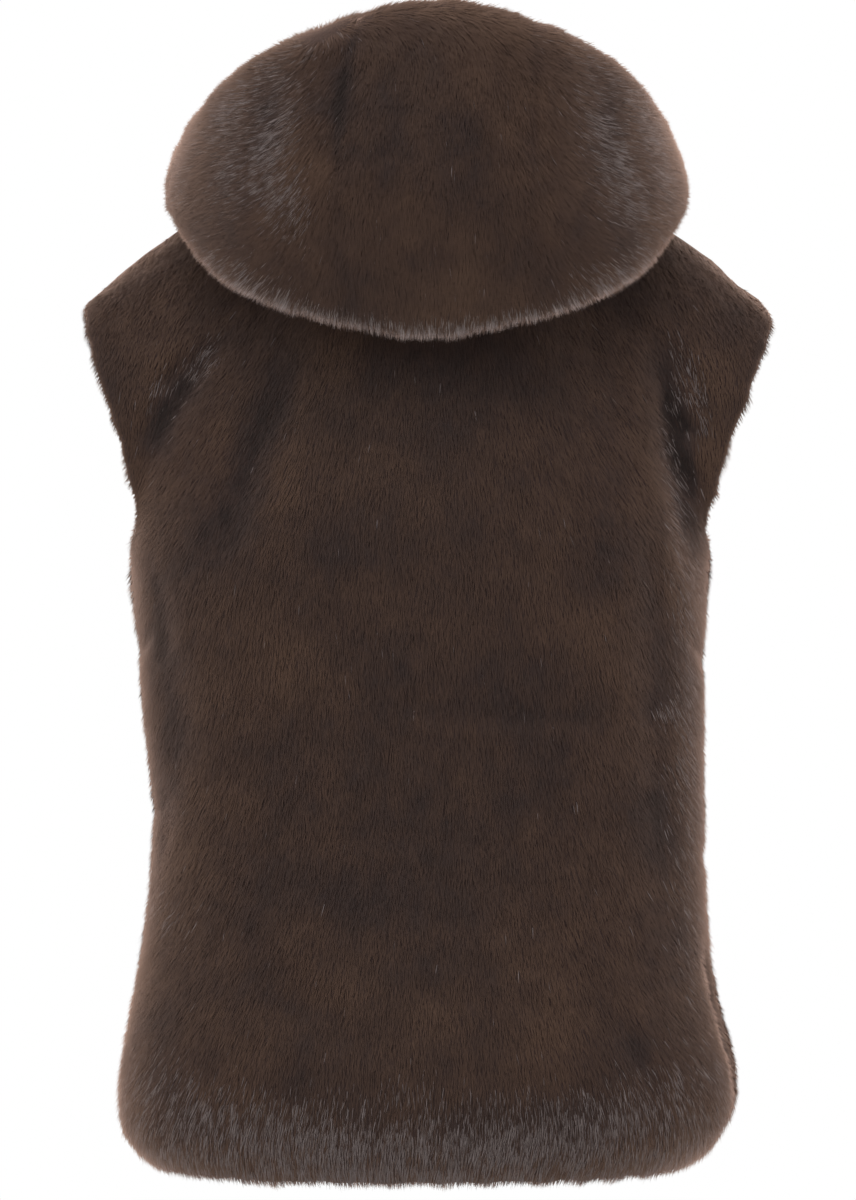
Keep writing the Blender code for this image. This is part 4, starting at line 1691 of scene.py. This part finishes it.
    def grow(self, undercoat: bpy.types.Object, name: str, coat: Coat) -> bpy.types.Object:
        """Grows the hair of one panel.

        Args:
            undercoat: The layer that the hair stands in.
            name: The new piece's name.
            coat: How many strands, and how they lie.

        Returns:
            The hair as one plain mesh.
        """
        modifier = undercoat.modifiers.new("guard_hair", "NODES")
        modifier.node_group = self.tree
        values = {
            "Strand": self.strand,
            "Density": coat.strands / covered_area(undercoat.data),
            "Length": coat.length,
            "Width": coat.width,
            "Raised": math.radians(coat.raised),
            "Ruffle": coat.ruffle,
            "Ruffle Scale": coat.ruffle_scale,
            "Scatter": coat.scatter,
            "Seed": coat.seed,
            "Material": self.material,
        }
        for key, value in values.items():
            modifier[self.sockets[key]] = value
        graph = bpy.context.evaluated_depsgraph_get()
        mesh = bpy.data.meshes.new_from_object(
            undercoat.evaluated_get(graph), preserve_all_data_layers=True, depsgraph=graph
        )
        undercoat.modifiers.remove(modifier)
        mesh.name = name
        self._face_out(mesh)
        piece = bpy.data.objects.new(name, mesh)
        bpy.context.scene.collection.objects.link(piece)
        return piece

    def _face_out(self, mesh: bpy.types.Mesh) -> None:
        """Gives the hairs the skin's normals, so that they shade as one soft coat.

        Args:
            mesh: The grown hair.
        """
        normals = np.empty(len(mesh.vertices) * 3, np.float32)
        mesh.attributes["pile_normal"].data.foreach_get("vector", normals)
        mesh.shade_smooth()
        mesh.normals_split_custom_set_from_vertices(normals.reshape(-1, 3))
        mesh.attributes.remove(mesh.attributes["pile_normal"])

    def clear(self) -> None:
        """Removes the single strand, which is not part of the vest."""
        bpy.data.objects.remove(self.strand)


def covered_area(mesh: bpy.types.Mesh) -> float:
    """The area of a mesh, each face counted by its mean cover.

    Args:
        mesh: A mesh with the cover attribute.

    Returns:
        Square metres.
    """
    count = len(mesh.polygons)
    area, sides = np.empty(count, np.float32), np.empty(count, np.int32)
    mesh.polygons.foreach_get("area", area)
    mesh.polygons.foreach_get("loop_total", sides)
    corners = np.empty(len(mesh.loops), np.int32)
    mesh.loops.foreach_get("vertex_index", corners)
    cover = np.empty(len(mesh.vertices), np.float32)
    mesh.attributes["cover"].data.foreach_get("value", cover)
    starts = np.concatenate([[0], np.cumsum(sides)[:-1]])
    return float((np.add.reduceat(cover[corners], starts) / sides * area).sum())


@dataclass(frozen=True)
class FurFinish:
    """The colours and gloss of the fur, with pale colours for the painted sheen."""

    deep: Colour = (0.0080, 0.0050, 0.0045)
    dark: Colour = (0.0230, 0.0140, 0.0122)
    brown: Colour = (0.0372, 0.0202, 0.0142)
    warm: Colour = (0.0590, 0.0325, 0.0208)
    # Pale hairs take these last three colours; they are painted sheen.
    pale: Colour = (0.0730, 0.0560, 0.0515)
    sheen_brightest: Colour = (0.1330, 0.1110, 0.1090)
    glint: Colour = (0.2600, 0.2250, 0.2150)
    root: float = 0.80
    middle: float = 0.95
    tip: float = 1.10
    roughness: float = 0.62
    specular: float = 0.12
    sheen: float = 0.56
    sheen_roughness: float = 0.45
    sheen_tint: Colour = (0.92, 0.60, 0.47)
    under_patches: Noise = Noise(14.0, 3.0)
    under_fuzz: Noise = Noise(1400.0, 2.0)
    under_roughness: float = 0.95
    fuzz_bump: float = 0.6
    fuzz_height: float = 0.0008

    def hair(self) -> bpy.types.Material:
        """The guard hair: its shade runs across the strand map, and root to tip up it.

        Returns:
            The material.
        """
        material, board, shader = new_material("fur_guard_hair")
        place = board.add("ShaderNodeUVMap", uv_map=STRAND_MAP)
        split = board.add("ShaderNodeSeparateXYZ", {"Vector": place.outputs[0]})
        # Up to 0.70 the hair's own browns, which painted shade and highlight shift; from 0.76 the pale hairs
        # of painted sheen.
        stops = (
            (0.0, self.deep),
            (0.18, self.dark),
            (0.40, self.brown),
            (0.70, self.warm),
            (0.76, self.pale),
            (0.92, self.sheen_brightest),
            (1.0, self.glint),
        )
        shades = ramp(board, split.outputs[0], stops)
        values = ((0.0, (self.root,) * 3), (0.45, (self.middle,) * 3), (1.0, (self.tip,) * 3))
        # A ramp holds numbers up to 1, so the lift from root to tip is kept at half size and doubled.
        halves = tuple((at, tuple(value / 2 for value in colour)) for at, colour in values)
        lift = board.scaled(ramp(board, split.outputs[1], halves), 2.0)
        colour = board.vectors("MULTIPLY", shades, lift)
        board.tree.links.new(colour, shader.inputs["Base Color"])
        self._gloss(shader)
        return material

    def undercoat(self) -> bpy.types.Material:
        """The short dense pile under the guard hair, dark and dull.

        Returns:
            The material.
        """
        material, board, shader = new_material("fur_undercoat")
        place = board.add("ShaderNodeTexCoord").outputs["Object"]
        patches = board.noise(self.under_patches, Vector=place)
        fuzz = board.noise(self.under_fuzz, Vector=place)
        half = board.maths("MULTIPLY", patches.outputs[0], 0.5)
        both = board.maths("MULTIPLY_ADD", fuzz.outputs[0], 0.5, half)
        deep = tuple(value * self.root for value in self.dark)
        stops = ((0.30, deep), (0.55, self.dark), (0.75, self.brown))
        board.tree.links.new(ramp(board, both, stops), shader.inputs["Base Color"])
        board.bump(shader, fuzz.outputs[0], self.fuzz_bump, self.fuzz_height)
        self._gloss(shader)
        shader.inputs["Roughness"].default_value = self.under_roughness
        return material

    def _gloss(self, shader: bpy.types.Node) -> None:
        """Sets the gloss that all the fur shares.

        Args:
            shader: The shader to set.
        """
        shader.inputs["Roughness"].default_value = self.roughness
        shader.inputs["Specular IOR Level"].default_value = self.specular
        shader.inputs["Sheen Weight"].default_value = self.sheen
        shader.inputs["Sheen Roughness"].default_value = self.sheen_roughness
        shader.inputs["Sheen Tint"].default_value = (*self.sheen_tint, 1)


@dataclass(frozen=True)
class KnitFinish:
    """The knit backing: rows of small stitches."""

    yarn: Colour = (0.036, 0.0230, 0.0175)
    gap: Colour = (0.0060, 0.0042, 0.0036)
    wale: float = 0.0016
    course: float = 0.0012
    leg_lean: float = 1.2
    loop_depth: float = 1.6
    bump: float = 0.8
    bump_height: float = 0.0004
    roughness: float = 0.9
    specular: float = 0.06

    def material(self) -> bpy.types.Material:
        """Stitches as two leaning waves along each wale.

        Returns:
            The material.
        """
        material, board, shader = new_material("knit_backing")
        place = board.add("ShaderNodeUVMap", uv_map=CLOTH_MAP)
        split = board.add("ShaderNodeSeparateXYZ", {"Vector": place.outputs[0]})
        across = board.maths("DIVIDE", split.outputs[0], self.wale)
        up = board.maths("DIVIDE", split.outputs[1], self.course)
        wale = self._from_middle(board, across)
        loop = self._from_middle(board, board.maths("ADD", up, board.maths("MULTIPLY", wale, self.leg_lean)))
        legs = board.maths("SINE", board.maths("MULTIPLY", wale, 2 * math.pi))
        loops = board.maths("SUBTRACT", 1.0, board.maths("MULTIPLY", loop, self.loop_depth))
        height = board.maths("MULTIPLY", loops, legs)
        stops = ((0.05, self.gap), (0.6, self.yarn))
        board.tree.links.new(ramp(board, height, stops), shader.inputs["Base Color"])
        board.bump(shader, height, self.bump, self.bump_height)
        shader.inputs["Roughness"].default_value = self.roughness
        shader.inputs["Specular IOR Level"].default_value = self.specular
        return material

    def _from_middle(self, board: NodeBoard, count: Socket) -> Socket:
        """How far a place is from the middle of its own stitch, where places are counted in stitches."""
        return board.maths("ABSOLUTE", board.maths("SUBTRACT", board.maths("FRACT", count), 0.5))


def new_material(name: str) -> tuple[bpy.types.Material, NodeBoard, bpy.types.Node]:
    """A material with one shader on its output, and the board for its nodes.

    Args:
        name: The material's name.

    Returns:
        The material, the board and the shader.
    """
    material = bpy.data.materials.new(name)
    material.use_nodes = True
    board = NodeBoard(material.node_tree)
    shader = board.add("ShaderNodeBsdfPrincipled")
    board.add("ShaderNodeOutputMaterial", {"Surface": shader.outputs[0]})
    return material, board, shader


def ramp(board: NodeBoard, at: Socket, stops: Sequence[tuple[float, Colour]]) -> Socket:
    """A colour ramp through the given stops.

    Args:
        board: Where the node goes.
        at: What picks the colour.
        stops: Places from 0 to 1, each with its colour.

    Returns:
        The colour.
    """
    node = board.add("ShaderNodeValToRGB", {"Fac": at})
    elements = node.color_ramp.elements
    while len(elements) < len(stops):
        elements.new(0.5)
    for element, (position, colour) in zip(elements, stops):
        element.position = position
        element.color = (*colour, 1)
    return node.outputs[0]


@dataclass
class Panel:
    """One panel of the vest with its flat size, and what its three layers are called."""

    node: str
    cloth: Cloth
    coat: Coat
    flat: Place
    area: float

    def make(
        self, layers: Layers, knit: bpy.types.Material, under: bpy.types.Material, hair: GuardHair
    ) -> None:
        """Builds the layers, attaches them to the root body and hides the panel's solid.

        Args:
            layers: How deep each layer lies.
            knit: The backing's material.
            under: The undercoat's material.
            hair: What grows the guard hair.
        """
        layer = Layer(self.cloth, layers)
        backing = layer.backing(f"{self.node}_backing")
        undercoat = layer.undercoat(f"{self.node}_undercoat")
        guard = hair.grow(undercoat, f"{self.node}_hair", self.coat)
        backing.data.materials.append(knit)
        undercoat.data.materials.append(under)
        for name in PILE_KINDS:
            undercoat.data.attributes.remove(undercoat.data.attributes[name])
        for piece, slot in ((backing, "backing"), (undercoat, "fur"), (guard, "fur")):
            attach(piece, "root")
        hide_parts(self.node)
        hairs, faces = len(guard.data.polygons), len(undercoat.data.polygons)
        log.info("%s: %d hairs, %d undercoat faces", self.node, hairs, faces)


@dataclass(frozen=True)
class Lamp:
    """A square soft lamp that points at the vest, with its width in metres and its power in watts."""

    name: str
    place: Point
    width: float
    power: float


@dataclass(frozen=True)
class Studio:
    """The plain pale room, its soft light and the camera."""

    eye: Point = (0.0007, -3.2, -0.321)
    lens: float = 134.4
    sensor: float = 36
    sight: float = 100
    floor_z: float = -1.42
    floor_radius: float = 4.6
    floor_sides: int = 96
    floor_grey: Colour = (0.86, 0.86, 0.86)
    floor_roughness: float = 0.9
    lit: Point = (0, 0, -0.3)
    lamps: tuple[Lamp, ...] = (
        Lamp("key", (-0.8, -3.4, 1.6), 2.2, 38),
        Lamp("top", (0.0, -1.6, 2.4), 2.0, 55),
        Lamp("left", (-3.0, -0.2, 0.6), 1.8, 26),
        Lamp("right", (3.0, -0.2, 0.6), 1.8, 26),
        Lamp("front", (0.6, 3.2, 1.4), 2.2, 26),
    )

    def camera(self) -> None:
        """A long lens, level with the middle of the vest and straight behind it."""
        data = bpy.data.cameras.new("camera")
        data.lens = self.lens
        data.sensor_width = self.sensor
        data.clip_end = self.sight
        camera = bpy.data.objects.new("camera", data)
        camera.location = self.eye
        camera.rotation_euler = (math.radians(90), 0, 0)
        bpy.context.scene.collection.objects.link(camera)
        bpy.context.scene.camera = camera

    def floor(self) -> None:
        """A round pale floor at the height that a standing wearer's would be."""
        turns = np.linspace(0, 2 * np.pi, self.floor_sides, endpoint=False)
        radius = self.floor_radius
        rim = [(radius * math.cos(turn), radius * math.sin(turn), self.floor_z) for turn in turns]
        mesh = bpy.data.meshes.new("floor")
        mesh.from_pydata(rim, [], [tuple(range(self.floor_sides))])
        material, _, shader = new_material("pale_floor")
        shader.inputs["Base Color"].default_value = (*self.floor_grey, 1)
        shader.inputs["Roughness"].default_value = self.floor_roughness
        mesh.materials.append(material)
        floor = bpy.data.objects.new("floor", mesh)
        bpy.context.scene.collection.objects.link(floor)

    def light(self) -> None:
        """A white room and large soft lamps: one over the camera, one at each side."""
        world = bpy.data.worlds.new("white_room")
        world.use_nodes = True
        board = NodeBoard(world.node_tree)
        white = board.add("ShaderNodeBackground", {"Color": (1, 1, 1, 1), "Strength": 1.0})
        board.add("ShaderNodeOutputWorld", {"Surface": white.outputs[0]})
        bpy.context.scene.world = world
        for lamp in self.lamps:
            data = bpy.data.lights.new(lamp.name, "AREA")
            data.size = lamp.width
            data.energy = lamp.power
            light = bpy.data.objects.new(lamp.name, data)
            light.location = lamp.place
            light.rotation_euler = aimed(np.array(self.lit) - np.array(lamp.place))
            bpy.context.scene.collection.objects.link(light)
        bpy.context.scene.view_settings.view_transform = "Standard"


def aimed(direction: Floats) -> Point:
    """The turn that points a lamp along a direction."""
    flat = math.hypot(direction[0], direction[1])
    return (math.atan2(flat, -direction[2]), 0.0, math.atan2(-direction[0], direction[1]))


def panels() -> list[Panel]:
    """The six panels, each with its cut's size on the flat.

    Returns:
        The panels, in the order in which they are made.
    """
    neck = Neck()
    body = Body(neck)
    cloths = {"back": body.back(), **body.fronts(), **Hood(neck).panels()}
    cuts = {
        "back": (Coat(190_000, seed=1), (0.60, 0.735), 0.34),
        "front_left": (Coat(112_000, seed=2), (0.33, 0.735), 0.16),
        "front_right": (Coat(112_000, seed=3), (0.33, 0.735), 0.16),
        "hood_left": (Coat(150_000, seed=4), (0.50, 0.415), 0.09),
        "hood_centre": (Coat(60_000, seed=5), (0.126, 0.425), 0.041),
        "hood_right": (Coat(150_000, seed=6), (0.49, 0.41), 0.086),
    }
    return [Panel(name, cloths[name], coat, flat, area) for name, (coat, flat, area) in cuts.items()]


def main() -> None:
    """Builds the vest round its frame, then the room."""
    logging.basicConfig(level=logging.INFO, format="%(name)s: %(message)s")
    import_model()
    fur, knit = FurFinish(), KnitFinish()
    hair = GuardHair(fur.hair())
    backing, undercoat = knit.material(), fur.undercoat()
    for panel in panels():
        panel.make(Layers(), backing, undercoat, hair)
    hair.clear()
    studio = Studio()
    studio.camera()
    studio.floor()
    studio.light()


if __name__ == "__main__":
    main()
